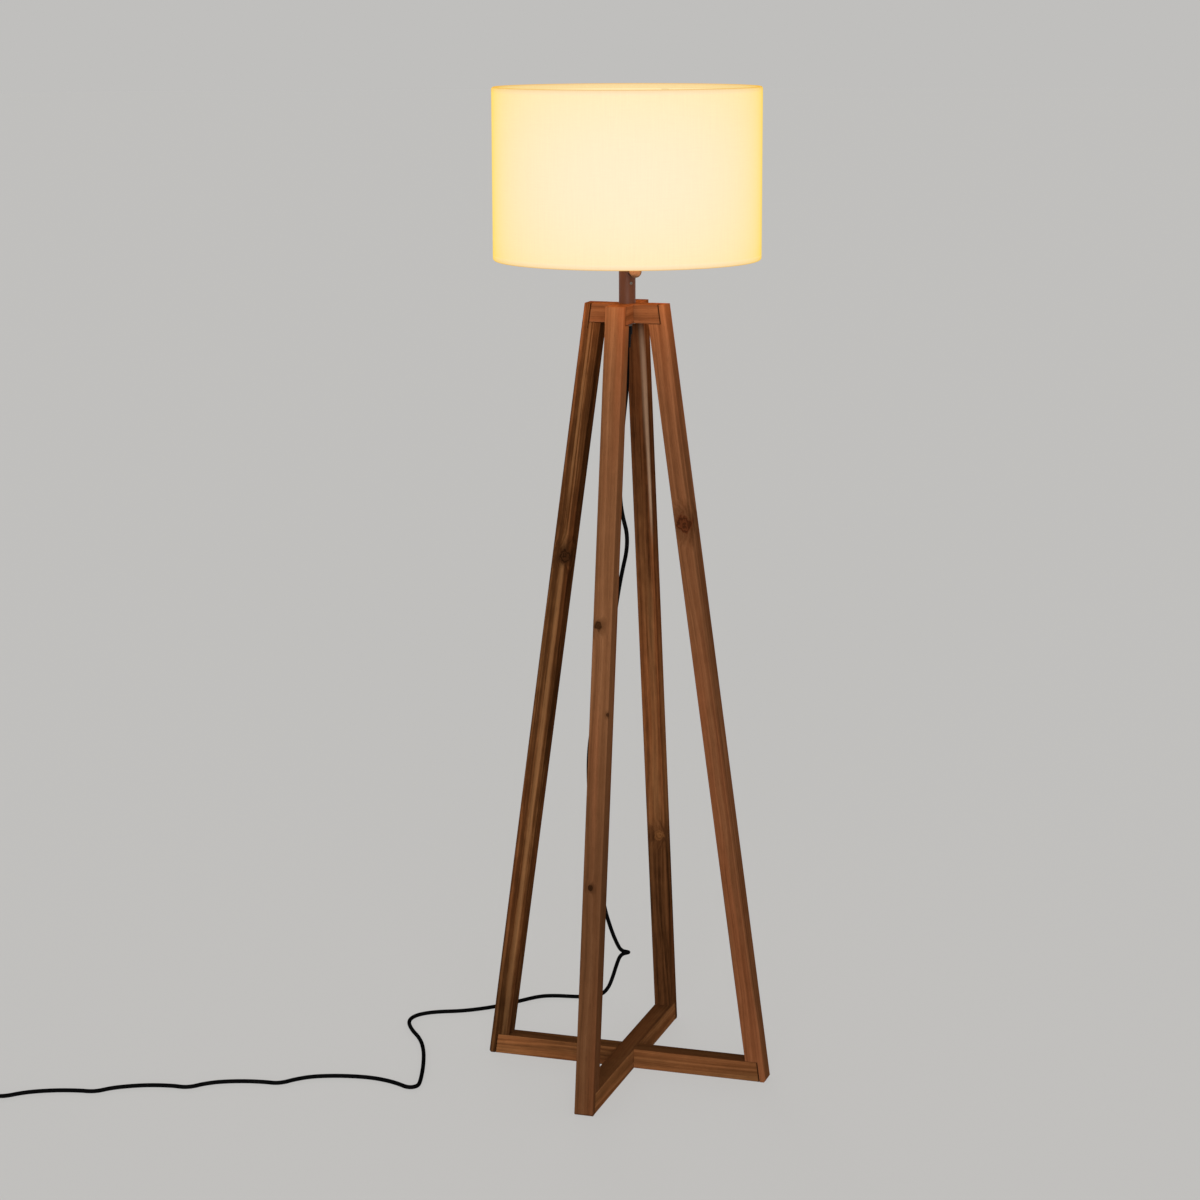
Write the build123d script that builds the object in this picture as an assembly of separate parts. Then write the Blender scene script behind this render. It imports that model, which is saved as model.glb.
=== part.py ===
from build123d import *
import os
from math import atan, cos, pi, radians, sin, sqrt, tan

# A floor lamp on four leaning wooden legs. Two A-shaped frames cross at right angles, one over
# the other, and carry a short metal post, a lampholder and a fabric drum shade.
# Millimetres. Origin on the floor under the post, +Z up. The side frame spans X, and the
# fore-and-aft frame spans Y. The lap joints show on the sides that face -Y and +X.

# ---- wooden frames
frame_height = 1202.0
foot_half_span = 228.0        # post axis to a leg's outer face, at the floor
top_half_span = 62.5          # the same at the top
leg_section = 29.0            # legs and bars are this wide
bottom_bar_height = 31.0
top_bar_height = 28.5
end_cover = 9.5               # wood left in front of a bar's end
joint_gap = 0.9               # saw gap at a bar's end
seam_gap = 0.5                # saw gap along a bar's edge
edge_round = 1.0              # softened long edges
foot_chamfer = 3.0
overcut_length = 9.0          # saw cut that ran past one joint

# ---- screws in the lap joints, under wooden plugs
plug_diameter = 8.0
plug_depth = 5.5
screw_head_diameter = 7.0
screw_head_height = 2.6
screw_diameter = 4.0
screw_length = 17.0
crossing_screw_length = 25.0
crossing_screw_recess = 1.0
screw_tip_length = 3.0
screw_gap = 0.05

# ---- threaded tube through the top crossing
thread_diameter = 10.0
cord_play = 0.4               # around the cord, in the threaded tubes
thread_gap = 0.05
passage_gap = 0.3             # play of a threaded tube in a plain hole
washer_diameter = 26.0
washer_thickness = 1.5
nut_across_flats = 14.0
nut_height = 4.0
grip_thread_length = 10.0
grip_diameter = 15.0
grip_nose_diameter = 9.6
grip_collar_length = 12.0
grip_length = 32.0
grip_groove_count = 4
grip_groove_width = 1.4
grip_groove_depth = 0.8

# ---- post
post_diameter = 25.0
post_wall = 1.5
post_length = 73.0
spigot_height = 36.0
spigot_thread_length = 12.0
spigot_bore = 16.0
slip_gap = 0.05               # play of the spigot and the top plug in the post
top_plug_height = 10.0
post_lip = 0.8
grub_height = 30.5            # above the frame
grub_diameter = 4.0
grub_length = 5.2
grub_socket = 2.0
grub_socket_depth = 1.8
grub_proud = 0.4
control_angle = -45.0         # direction in which the knob and the grub screw point

# ---- rotary switch behind the knob
switch_height = 49.0          # above the frame
switch_body_diameter = 13.0
switch_body_back = -7.0       # along the knob's axis, from the post's axis
switch_inset = 3.0            # switch's body to the post's inner wall
switch_bush_diameter = 7.0
switch_collar_diameter = 12.0
switch_collar_stand = 1.5     # saddle's thinnest place, on the post
switch_nut_across_flats = 10.0
switch_nut_thickness = 2.0
spindle_diameter = 4.0
spindle_flat = 0.6            # depth of the flat on the spindle
running_gap = 0.05
face_gap = 0.05               # between flat faces that turn on each other
knob_diameter = 18.6
knob_neck_diameter = 12.0
knob_length = 16.5
knob_flare_length = 10.5
knob_socket_depth = 11.0
knob_standoff = 0.4

# ---- lampholder
stem_length = 16.0            # threaded tube between the post and the lampholder
holder_base_diameter = 28.0
holder_diameter = 39.0
holder_cap_height = 20.0
holder_shell_height = 35.0
holder_wall = 2.0
holder_bottom_thickness = 3.0
holder_mouth_diameter = 30.0
holder_rib = 0.8
holder_rib_pitch = 3.2
core_height = 10.0
core_lift = 2.0               # core's underside above the lampholder cap's top edge
terminal_spacing = 16.0
terminal_size = 5.0
socket_wall = 0.6
socket_height = 16.0
socket_play = 0.35            # radial play of a bulb cap in the screwed socket
plunger_diameter = 6.0
plunger_height = 6.0
spring_wire = 0.5
spring_turns = 4

# ---- bulb
bulb_cap_diameter = 26.4
bulb_cap_height = 19.0
bulb_cap_wall = 0.5
bulb_thread_pitch = 3.63
bulb_thread_depth = 0.8
bulb_insulator_height = 3.0
bulb_tip_diameter = 9.0
bulb_tip_height = 1.2
bulb_diameter = 60.0
bulb_wall = 1.0
bulb_body_height = 36.0
bulb_neck_diameter = 27.5
bulb_board_diameter = 46.0
bulb_board_thickness = 1.6
chip_count = 10
chip_size = 3.0
chip_height = 0.8

# ---- shade
shade_diameter = 400.0
shade_height = 254.0
shade_gap = 65.0              # frame's top to the shade's lower edge
fabric_thickness = 0.8
shade_wire = 5.0
hem_return = 5.0
arm_count = 3
arm_wire = 4.0
arm_rise = 22.0
arm_play = 0.6                # cut-out in the fabric around each arm's end
hub_outer_diameter = 58.0
hub_thickness = 1.5
hub_play = 0.5
shade_ring_diameter = 56.0
shade_ring_height = 8.0
shade_ring_play = 0.2
shade_ring_scallops = 24
scallop_diameter = 4.0
rest_gap = 0.3                # between the turning shade's hub and the rings

# ---- wires inside the post
core_wire_diameter = 2.2
wire_rise = 14.0              # sheath's end above the frame
wire_room = 1.3               # between a wire and the switch's body beside it

# ---- mains cord, plug and the coil of spare cord
cord_diameter = 6.4
cord_floor = cord_diameter / 2
coil_x = -930.0
coil_turn_radius = 35.0       # at the middle of the coil's turns
coil_turns = 2                # beside each other, flat on the floor
tie_thickness = 0.9
tie_width = 9.0
tie_angle = 250.0
tie_play = 0.42
plug_width = 35.3
plug_thickness = 13.7
plug_length = 36.0
plug_back_width = 17.0
plug_edge = 2.5
relief_length = 24.0
relief_diameter = 9.6
pin_spacing = 18.6
pin_diameter = 4.0
pin_length = 19.0
pin_sleeve_length = 10.0
pin_sleeve_diameter = 3.4
pin_root = 6.0

# Where the cord hangs: (x, y, share of its exit's height), with a tight fold near the floor.
hanging_route = [
    (0, 0, 1.0), (0, 0, 0.979), (1, 5, 0.944), (-3, 10, 0.893), (-10, 17, 0.837),
    (-14, 27, 0.78), (-12, 39, 0.727), (-21, 51, 0.666), (-43, 64, 0.59), (-68, 77, 0.516),
    (-90, 90, 0.449), (-100, 107, 0.3875), (-102, 132, 0.308), (-100, 158, 0.2325),
    (-97, 182, 0.169), (-91, 203, 0.1286), (-86, 216, 0.1066), (-82, 226, 0.0934),
    (-73, 235, 0.0898), (-76, 250, 0.0845), (-91, 251, 0.0801), (-99, 253, 0.0617),
    (-108, 259, 0.0388), (-118, 267, 0.0203), (-131, 272, 0.0079),
]
# Where it lies on the floor: (x, y), with the kinks that it kept from its packing.
floor_route = [
    (-150, 271), (-178, 264), (-207, 260), (-232, 250), (-253, 223), (-283, 181), (-329, 143),
    (-374, 125), (-398, 103), (-402, 73), (-382, 36), (-352, 0), (-327, -48), (-304, -109),
    (-290, -153), (-284, -174), (-280, -191), (-283, -200), (-290, -204.5), (-298.5, -203),
    (-311, -196), (-333, -188), (-360, -184), (-387, -186), (-422, -194), (-454, -208),
    (-474, -228), (-483, -242), (-495, -250), (-511, -250), (-545, -256), (-582, -271),
    (-602, -288), (-611, -301), (-624, -308), (-642, -307), (-681, -316), (-715, -334),
    (-732, -348), (-741, -360), (-753, -367), (-770, -368), (-806, -378), (-838, -394),
    (-855, -408), (-865, -420), (-878, -427), (-898, -429),
]
coil_joint = (-920.0, -427.5)  # where the cord runs into the coil's outer turn
tail_angles = (100, 120, 140, 160)
arc_share = 0.45              # of the shorter run beside a corner, taken by its arc

# ---- sizes that follow from those above
half = leg_section / 2
lean = (foot_half_span - top_half_span) / frame_height
leg_depth = leg_section / cos(atan(lean))
top_bar_low = frame_height - top_bar_height
post_top = frame_height + post_length
post_inner = post_diameter - 2 * post_wall
thread_bore = cord_diameter + 2 * cord_play
switch_body_front = post_inner / 2 - switch_inset
switch_collar_end = post_diameter / 2 + switch_collar_stand
wire_offset = switch_body_diameter / 2 + core_wire_diameter / 2 + wire_room
grip_top = top_bar_low - washer_thickness - nut_height - 0.5
grip_low = grip_top - grip_length
wire_start = frame_height + wire_rise
switch_z = frame_height + switch_height
holder_shell_low = post_top + holder_cap_height
holder_top = holder_shell_low + holder_shell_height
core_low = holder_shell_low + core_lift
core_top = core_low + core_height
socket_bore = bulb_cap_diameter + 2 * socket_play
plunger_top = core_top + 3.0
bulb_tip_low = plunger_top + face_gap
bulb_insulator_low = bulb_tip_low + bulb_tip_height
bulb_cap_low = bulb_insulator_low + bulb_insulator_height
bulb_body_low = bulb_cap_low + bulb_cap_height
bulb_body_top = bulb_body_low + bulb_body_height
shade_low = frame_height + shade_gap
shade_top = shade_low + shade_height
wire_radius = shade_diameter / 2 - fabric_thickness - shade_wire / 2
rim_wrap = shade_wire / 2 + fabric_thickness
bottom_wire_z = shade_low + rim_wrap
top_wire_z = shade_top - rim_wrap
hub_low = bottom_wire_z + arm_rise
hub_top = hub_low + hub_thickness
cord_route = [(x, y, share * grip_low) for x, y, share in hanging_route]
cord_route += [(x, y, cord_floor) for x, y in floor_route]
cord_route += [(coil_joint[0], coil_joint[1], cord_floor + tie_thickness)]
coil_outer_radius = coil_turn_radius + coil_turns * cord_diameter / 2
coil_inner_radius = coil_turn_radius - coil_turns * cord_diameter / 2
coil_y = coil_joint[1] - coil_outer_radius + cord_diameter / 2
coil_low = tie_thickness + 0.05
tail_z = coil_low + 1.5 * cord_diameter + 0.05
tail_ride = coil_turn_radius - cord_diameter / 4
tail_x = coil_x - tail_ride - 2
tail_lift = tail_z - plug_thickness / 2
tail_route = [(coil_x + tail_ride * cos(radians(angle)), coil_y + tail_ride * sin(radians(angle)),
               tail_z) for angle in tail_angles]
tail_route += [(tail_x + 0.6, coil_y - 3, tail_z), (tail_x + 0.2, coil_y - 20, tail_z),
               (tail_x, coil_y - 36, tail_z - tail_lift * 0.3),
               (tail_x, coil_y - 50, plug_thickness / 2 + tail_lift * 0.15),
               (tail_x, coil_y - 64, plug_thickness / 2)]
tail_route += [(tail_x, coil_y - 76, plug_thickness / 2)]
tail_end = tail_route[-1][1]
plug_back = tail_end - relief_length
plug_front = plug_back - plug_length

os.makedirs("parts", exist_ok=True)
pieces = {}


# ---- shapes that several pieces share
def upright_slab(outline, near, far):
    """A slab with an outline of (x, z) points, from y = near to y = far."""
    face = make_face(Polyline(*[(x, near, z) for x, z in outline], close=True))
    return extrude(face, amount=far - near, dir=(0, 1, 0))


def turned(*outline):
    """A solid of revolution about Z, from (radius, z) points."""
    return revolve(Plane.XZ * make_face(Polyline(*outline, close=True)), Axis.Z)


def tube(outer_diameter, inner_diameter, low, high):
    outer = outer_diameter / 2
    inner = inner_diameter / 2
    return turned((inner, low), (outer, low), (outer, high), (inner, high))


def rod(diameter, low, high):
    radius = diameter / 2
    return turned((0, low), (radius, low), (radius, high), (0, high))


def hexagon(across_flats, bore, low, high):
    outline = RegularPolygon(across_flats / 2, 6, major_radius=False)
    prism = extrude(Pos(0, 0, low) * outline, amount=high - low)
    return prism - rod(bore, low - 1, high + 1)


def control_frame(height):
    """The place on the post's axis at a height, with its own +Z in the knob's direction."""
    angle = radians(control_angle)
    return Plane(origin=(0, 0, height), x_dir=(0, 0, 1), z_dir=(cos(angle), sin(angle), 0)).location


def soft_path(points):
    """Straight runs joined by arcs as large as the runs allow, and the arcs' radii."""
    corners = zip(points, points[1:], points[2:])
    radii = []
    for before, corner, after in corners:
        arriving = Vector(*corner) - Vector(*before)
        leaving = Vector(*after) - Vector(*corner)
        turn = radians(arriving.get_angle(leaving))
        radii.append(arc_share * min(arriving.length, leaving.length) / tan(turn / 2))
    return FilletPolyline(*points, radius=radii), radii


def round_tube(points, diameter):
    path, radii = soft_path(points)
    section = Plane(origin=path @ 0, z_dir=path % 0) * Circle(diameter / 2)
    return sweep(section, path), path.length, radii


# ---- wooden legs and bars
def outer_face(z):
    return foot_half_span - lean * z


def inner_face(z):
    return outer_face(z) - leg_depth


def lap_end(z):
    return outer_face(z) - end_cover


def lap_middle(z):
    return (lap_end(z) + inner_face(z)) / 2


def rounded_along(solid, axis_length):
    """The solid with its longest edges softened."""
    long_edges = [edge for edge in solid.edges() if edge.length > axis_length]
    return fillet(long_edges, edge_round)


def housing(low, high):
    """The space in a leg for a bar's end, open on the side that faces -Y."""
    inside = 3.0
    outline = [(lap_end(low), low), (lap_end(high), high),
               (inner_face(high) - inside, high), (inner_face(low) - inside, low)]
    return upright_slab(outline, -half - 1, 0)


def screw_hole(shank_length, recess):
    """A hole for a screw along +Z, from the wood's face, with a recess for its plug."""
    head = screw_head_diameter / 2 + screw_gap
    shank = screw_diameter / 2 + screw_gap
    plug = plug_diameter / 2
    head_end = recess + screw_head_height
    return turned((0, -1), (plug, -1), (plug, recess), (head, recess), (shank, head_end),
                  (shank, recess + shank_length + 0.5), (0, recess + shank_length + 0.5))


def wood_screw(length, recess):
    head = screw_head_diameter / 2
    shank = screw_diameter / 2
    cross = Box(screw_head_diameter * 0.6, 1.0, 2.4) + Box(1.0, screw_head_diameter * 0.6, 2.4)
    blank = turned((0, recess), (head, recess), (shank, recess + screw_head_height),
                   (shank, recess + length - screw_tip_length), (0, recess + length))
    return blank - Pos(0, 0, recess) * cross


def lap_places():
    """Each lap joint's screw, from the wood's hidden side, with +Z into the wood."""
    for turn in (0, 90):
        for side in (1, -1):
            for level in (bottom_bar_height / 2, frame_height - top_bar_height / 2):
                origin = (side * lap_middle(level), half, level)
                yield Rot(0, 0, turn) * Plane(origin=origin, z_dir=(0, -1, 0)).location


def leg(has_overcut):
    outline = [(outer_face(0), 0), (outer_face(frame_height), frame_height),
               (inner_face(frame_height), frame_height), (inner_face(0), 0)]
    solid = rounded_along(upright_slab(outline, -half, half), frame_height * 0.9)
    corner = [(outer_face(0) - foot_chamfer, -1), (outer_face(0) - foot_chamfer, 0),
              (outer_face(foot_chamfer), foot_chamfer), (outer_face(0) + 1, foot_chamfer),
              (outer_face(0) + 1, -1)]
    solid -= upright_slab(corner, -half - 1, half + 1)
    solid -= housing(-1, bottom_bar_height + seam_gap)
    solid -= housing(top_bar_low - seam_gap, frame_height + 1)
    if has_overcut:
        cut_low = top_bar_low - overcut_length
        cut = [(lap_end(cut_low), cut_low), (lap_end(top_bar_low), top_bar_low),
               (lap_end(top_bar_low) - joint_gap, top_bar_low),
               (lap_end(cut_low) - joint_gap, cut_low)]
        solid -= upright_slab(cut, -half - 1, -half / 2)
    return solid


def bar(low, high, notch_low, notch_high):
    """A bar whose ends are half as thick, with a notch where it crosses the other bar."""
    ends = [(lap_end(low) - joint_gap, low), (lap_end(high) - joint_gap, high)]
    outline = ends + [(-x, z) for x, z in reversed(ends)]
    solid = rounded_along(upright_slab(outline, -half, half), 2 * inner_face(high))
    reach = foot_half_span
    for side in (1, -1):
        waste = [(side * inner_face(low - 1), low - 1), (side * inner_face(high + 1), high + 1),
                 (side * reach, high + 1), (side * reach, low - 1)]
        solid -= upright_slab(waste, 0, half + 1)
    notch = [(-half, notch_low), (half, notch_low), (half, notch_high), (-half, notch_high)]
    return solid - upright_slab(notch, -half - 1, half + 1)


def with_holes(solid):
    hole = screw_hole(screw_length, plug_depth)
    for place in lap_places():
        solid -= place * hole
    return solid


bottom_middle = bottom_bar_height / 2
top_middle = frame_height - top_bar_height / 2
crossing_hole = screw_hole(crossing_screw_length, crossing_screw_recess)
stem_hole = rod(thread_diameter + 2 * passage_gap, top_bar_low - 1, frame_height + 1)
quarter = Rot(0, 0, 90)

pieces["leg_right"] = with_holes(leg(False))
pieces["leg_left"] = with_holes(mirror(leg(True), about=Plane.YZ))
pieces["leg_back"] = with_holes(quarter * leg(False))
pieces["leg_front"] = with_holes(quarter * mirror(leg(False), about=Plane.YZ))

bottom_side = bar(0, bottom_bar_height, bottom_middle, bottom_bar_height + 1)
bottom_fore_aft = quarter * bar(0, bottom_bar_height, -1, bottom_middle)
top_side = bar(top_bar_low, frame_height, top_middle, frame_height + 1)
top_fore_aft = quarter * bar(top_bar_low, frame_height, top_bar_low - 1, top_middle)
pieces["bottom_bar_side"] = with_holes(bottom_side - crossing_hole)
pieces["bottom_bar_fore_aft"] = with_holes(bottom_fore_aft - crossing_hole)
pieces["top_bar_side"] = with_holes(top_side - stem_hole)
pieces["top_bar_fore_aft"] = with_holes(top_fore_aft - stem_hole)

lap_screw = wood_screw(screw_length, plug_depth)
wooden_plug = rod(plug_diameter - 2 * screw_gap, 0, plug_depth)
pieces["lap_screws"] = Compound([place * lap_screw for place in lap_places()])
pieces["screw_plugs"] = Compound([place * wooden_plug for place in lap_places()])
pieces["crossing_screw"] = wood_screw(crossing_screw_length, crossing_screw_recess)

# ---- threaded tube, washer, nut and cord grip under the top crossing
stem_low = top_bar_low - washer_thickness - nut_height - grip_thread_length
stem_top = frame_height + spigot_thread_length - 1
thread_clear = thread_diameter + 2 * thread_gap
pieces["threaded_tube"] = tube(thread_diameter, thread_bore, stem_low, stem_top)
washer_low = top_bar_low - washer_thickness
pieces["clamp_washer"] = tube(washer_diameter, thread_clear, washer_low, top_bar_low)
pieces["clamp_nut"] = hexagon(nut_across_flats, thread_clear, washer_low - nut_height, washer_low)

grip_radius = grip_diameter / 2
grip_nose = grip_nose_diameter / 2
cord_radius = cord_diameter / 2
collar_low = grip_top - grip_collar_length
grip = turned((cord_radius + thread_gap, grip_low), (grip_nose, grip_low),
              (grip_radius - 1.5, collar_low), (grip_radius, collar_low), (grip_radius, grip_top),
              (thread_clear / 2, grip_top), (thread_clear / 2, stem_low - 0.5),
              (cord_radius + thread_gap, stem_low - 0.5))
groove_step = (grip_length - grip_collar_length - 6) / grip_groove_count
for index in range(grip_groove_count):
    groove_z = grip_low + 4 + index * groove_step
    fraction = (groove_z - grip_low) / (grip_length - grip_collar_length)
    skin = grip_nose + fraction * (grip_radius - 1.5 - grip_nose)
    cutter = tube(2 * skin + 4, 2 * (skin - grip_groove_depth), groove_z, groove_z + grip_groove_width)
    grip -= cutter - Pos(0, 0, groove_z) * Box(3, 4 * grip_radius, 10)
pieces["cord_grip"] = grip

# ---- spigot, post, grub screw and top plug
spigot_diameter = post_inner - 2 * slip_gap
spigot_top = frame_height + spigot_height
grub_frame = control_frame(frame_height + grub_height)
grub_end = post_diameter / 2 + grub_proud
grub_hole = grub_frame * rod(grub_diameter + 2 * thread_gap, grub_end - grub_length - 0.5, post_diameter)
spigot = rod(spigot_diameter, frame_height, spigot_top)
spigot -= rod(thread_clear, frame_height - 1, frame_height + spigot_thread_length)
spigot -= rod(spigot_bore, frame_height + spigot_thread_length, spigot_top + 1)
pieces["post_spigot"] = spigot - grub_hole

switch_frame = control_frame(switch_z)
bush_hole = switch_frame * rod(switch_bush_diameter + 2 * slip_gap, 0, post_diameter)
post = turned((post_inner / 2, frame_height), (post_diameter / 2, frame_height),
              (post_diameter / 2, post_top), (post_inner / 2 - post_lip, post_top),
              (post_inner / 2 - post_lip, post_top - 1), (post_inner / 2, post_top - 1))
pieces["post_tube"] = post - grub_hole - bush_hole

grub = rod(grub_diameter, grub_end - grub_length, grub_end)
socket = extrude(Pos(0, 0, grub_end - grub_socket_depth)
                 * RegularPolygon(grub_socket / 2, 6, major_radius=False), amount=grub_socket_depth + 1)
pieces["grub_screw"] = grub_frame * (grub - socket)

top_plug_low = post_top - 1 - top_plug_height
pieces["post_top_plug"] = tube(spigot_diameter, thread_clear, top_plug_low, post_top - 1)
upper_stem_low = post_top - top_plug_height + 1
upper_stem_top = upper_stem_low + stem_length
pieces["holder_stem"] = tube(thread_diameter, thread_bore, upper_stem_low, upper_stem_top)

# ---- rotary switch and its wooden knob
bush_end = switch_collar_end + switch_nut_thickness
spindle_clear = spindle_diameter + 2 * running_gap
switch = rod(switch_body_diameter, switch_body_back, switch_body_front)
switch += rod(switch_bush_diameter, switch_body_front, bush_end)
switch -= rod(spindle_clear, switch_body_front - 4, bush_end + 1)
pieces["switch_body"] = switch_frame * switch

saddle = tube(switch_collar_diameter, switch_bush_diameter + 2 * thread_gap, 0, switch_collar_end)
saddle = switch_frame * saddle - rod(post_diameter, switch_z - 20, switch_z + 20)
pieces["switch_saddle"] = saddle
switch_nut = hexagon(switch_nut_across_flats, switch_bush_diameter + 2 * thread_gap,
                     switch_collar_end, bush_end)
pieces["switch_nut"] = switch_frame * switch_nut

knob_low = bush_end + knob_standoff
knob_high = knob_low + knob_length
spindle_low = switch_body_front - 3.5
spindle_high = knob_low + knob_socket_depth - 0.5


def d_rod(diameter, low, high, flat_from):
    """A rod with a flat along it, from a height up."""
    flat = Pos(diameter - spindle_flat, 0, (flat_from + high) / 2) * Box(
        diameter, 2 * diameter, high - flat_from + 0.01)
    return rod(diameter, low, high) - flat


pieces["switch_spindle"] = switch_frame * d_rod(spindle_diameter, spindle_low, spindle_high, knob_low)

knob_radius = knob_diameter / 2
neck_radius = knob_neck_diameter / 2
flare_z = knob_low + knob_flare_length
knob_back = Line((0, knob_low), (neck_radius, knob_low))
knob_flare = Spline((neck_radius, knob_low), (neck_radius + 0.9, knob_low + 3.6),
                    (knob_radius, flare_z), tangents=[(0, 1), (0.05, 1)])
knob_front = Spline((knob_radius, flare_z), (knob_radius * 0.72, knob_high - 1.1), (0, knob_high),
                    tangents=[(-0.05, 1), (-1, 0)])
knob_axis = Line((0, knob_high), (0, knob_low))
knob = revolve(Plane.XZ * make_face(knob_back + knob_flare + knob_front + knob_axis), Axis.Z)
knob -= d_rod(spindle_clear, knob_low - 1, knob_low + knob_socket_depth, knob_low - 1)
pieces["switch_knob"] = switch_frame * knob

# ---- lampholder
base_radius = holder_base_diameter / 2
holder_radius = holder_diameter / 2
clear_radius = thread_clear / 2
pieces["holder_cap"] = turned(
    (clear_radius, post_top), (base_radius, post_top), (base_radius + 2.5, post_top + 3),
    (holder_radius, holder_shell_low - 5), (holder_radius, holder_shell_low),
    (holder_radius - holder_wall, holder_shell_low), (holder_radius - holder_wall, holder_shell_low - 5),
    (base_radius + 0.5, post_top + 3 + holder_bottom_thickness),
    (clear_radius + 3, post_top + 3 + holder_bottom_thickness),
    (clear_radius + 3, post_top + 9), (clear_radius, post_top + 9))

shell_inner = holder_radius - holder_wall
rib_foot = holder_radius - holder_rib
shell_outline = [(shell_inner, holder_shell_low), (holder_radius, holder_shell_low)]
rib_z = holder_shell_low + 6
while rib_z + holder_rib_pitch < holder_top - 4:
    shell_outline += [(holder_radius, rib_z), (rib_foot, rib_z + holder_rib_pitch * 0.35),
                      (rib_foot, rib_z + holder_rib_pitch * 0.65)]
    rib_z += holder_rib_pitch
shell_outline += [(holder_radius, rib_z), (holder_radius, holder_top - 1),
                  (holder_radius - 1, holder_top), (holder_mouth_diameter / 2, holder_top),
                  (holder_mouth_diameter / 2, holder_top - 2), (shell_inner, holder_top - 2)]
pieces["holder_shell"] = turned(*shell_outline)

core_radius = shell_inner - 2 * slip_gap
core = rod(2 * core_radius, core_low, core_top)
core -= rod(plunger_diameter + 2 * running_gap, core_top - plunger_height, core_top + 1)
terminals = []
for side in (1, -1):
    place = Pos(side * terminal_spacing / 2, 0, core_low - 1 + terminal_size / 2)
    block = Box(terminal_size, terminal_size, terminal_size)
    wire_way = Cylinder(core_wire_diameter / 2 + slip_gap, terminal_size * 1.2)
    clamp_screw = Rot(90, 0, 0) * Cylinder(terminal_size / 4, terminal_size + 1.6)
    terminal = block + clamp_screw - Pos(0, 0, -terminal_size / 2) * wire_way
    terminals.append(place * terminal)
    core -= place * Box(terminal_size + 0.1, terminal_size + 2, terminal_size + 0.1)
pieces["holder_core"] = core
pieces["holder_terminals"] = Compound(terminals)

socket_outer = socket_bore / 2 + socket_wall
socket_mouth = bulb_tip_diameter / 2 + 3
socket_top = core_top + socket_height
pieces["screw_socket"] = turned(
    (socket_mouth, core_top), (socket_outer, core_top), (socket_outer, socket_top),
    (socket_bore / 2, socket_top), (socket_bore / 2, core_top + socket_wall),
    (socket_mouth, core_top + socket_wall))

plunger_low = plunger_top - plunger_height
pieces["contact_plunger"] = rod(plunger_diameter, plunger_low, plunger_top)
spring_radius = plunger_diameter / 2 - spring_wire
spring_low = core_top - plunger_height
spring_space = plunger_low - spring_low
spring_rings = [Pos(0, 0, spring_low + spring_space * (index + 0.5) / spring_turns)
                * Torus(spring_radius, spring_wire / 2) for index in range(spring_turns)]
pieces["contact_spring"] = Compound(spring_rings)


def shade_ring(low, high):
    bore = holder_diameter + 2 * shade_ring_play
    ring = tube(shade_ring_diameter, bore, low, high)
    for index in range(shade_ring_scallops):
        angle = 360 / shade_ring_scallops * index
        scallop = Pos(shade_ring_diameter / 2 + scallop_diameter / 4, 0, (low + high) / 2)
        ring -= Rot(0, 0, angle) * scallop * Cylinder(scallop_diameter / 2, high - low + 2)
    return ring


pieces["lower_shade_ring"] = shade_ring(hub_low - rest_gap - shade_ring_height, hub_low - rest_gap)
pieces["upper_shade_ring"] = shade_ring(hub_top + rest_gap, hub_top + rest_gap + shade_ring_height)

# ---- bulb
tip_radius = bulb_tip_diameter / 2
cap_radius = bulb_cap_diameter / 2
pieces["bulb_tip"] = turned((0, bulb_tip_low), (tip_radius - 2, bulb_tip_low),
                            (tip_radius, bulb_insulator_low), (0, bulb_insulator_low))
pieces["bulb_insulator"] = turned((0, bulb_insulator_low), (tip_radius + 1, bulb_insulator_low),
                                  (cap_radius - 2, bulb_cap_low), (0, bulb_cap_low))
cap_outline = [(cap_radius - 2.5, bulb_cap_low), (cap_radius - 1.5, bulb_cap_low)]
thread_z = bulb_cap_low + 1.5
cap_inner = cap_radius - bulb_thread_depth - bulb_cap_wall
while thread_z + bulb_thread_pitch < bulb_body_low - 2:
    cap_outline += [(cap_radius - bulb_thread_depth, thread_z),
                    (cap_radius, thread_z + bulb_thread_pitch / 2)]
    thread_z += bulb_thread_pitch
cap_outline += [(cap_radius - bulb_thread_depth, thread_z),
                (cap_radius, bulb_body_low), (cap_inner, bulb_body_low),
                (cap_inner, bulb_cap_low + 1.5)]
pieces["bulb_cap"] = turned(*cap_outline)

bulb_radius = bulb_diameter / 2
neck = bulb_neck_diameter / 2
body_side = Spline((neck, bulb_body_low), (neck + 4, bulb_body_low + 12), (bulb_radius, bulb_body_top),
                   tangents=[(0.15, 1), (0.1, 1)])
body_bottom = Line((0, bulb_body_low), (neck, bulb_body_low))
body_top = Line((bulb_radius, bulb_body_top), (0, bulb_body_top))
body_axis = Line((0, bulb_body_top), (0, bulb_body_low))
body = revolve(Plane.XZ * make_face(body_bottom + body_side + body_top + body_axis), Axis.Z)
seat_radius = bulb_board_diameter / 2 + 0.1
pieces["bulb_body"] = body - rod(2 * seat_radius, bulb_body_top - bulb_board_thickness, bulb_body_top + 1)


def dome_face(radius):
    """Half the outline of a dome that stands on the bulb's body."""
    slant = radius * sqrt(0.5)
    arc = ThreePointArc((radius, bulb_body_top), (slant, bulb_body_top + slant), (0, bulb_body_top + radius))
    sides = Polyline((0, bulb_body_top + radius), (0, bulb_body_top), (radius, bulb_body_top))
    return make_face(arc + sides)


dome = revolve(Plane.XZ * dome_face(bulb_radius), Axis.Z)
pieces["bulb_dome"] = dome - revolve(Plane.XZ * dome_face(bulb_radius - bulb_wall), Axis.Z)

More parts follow.
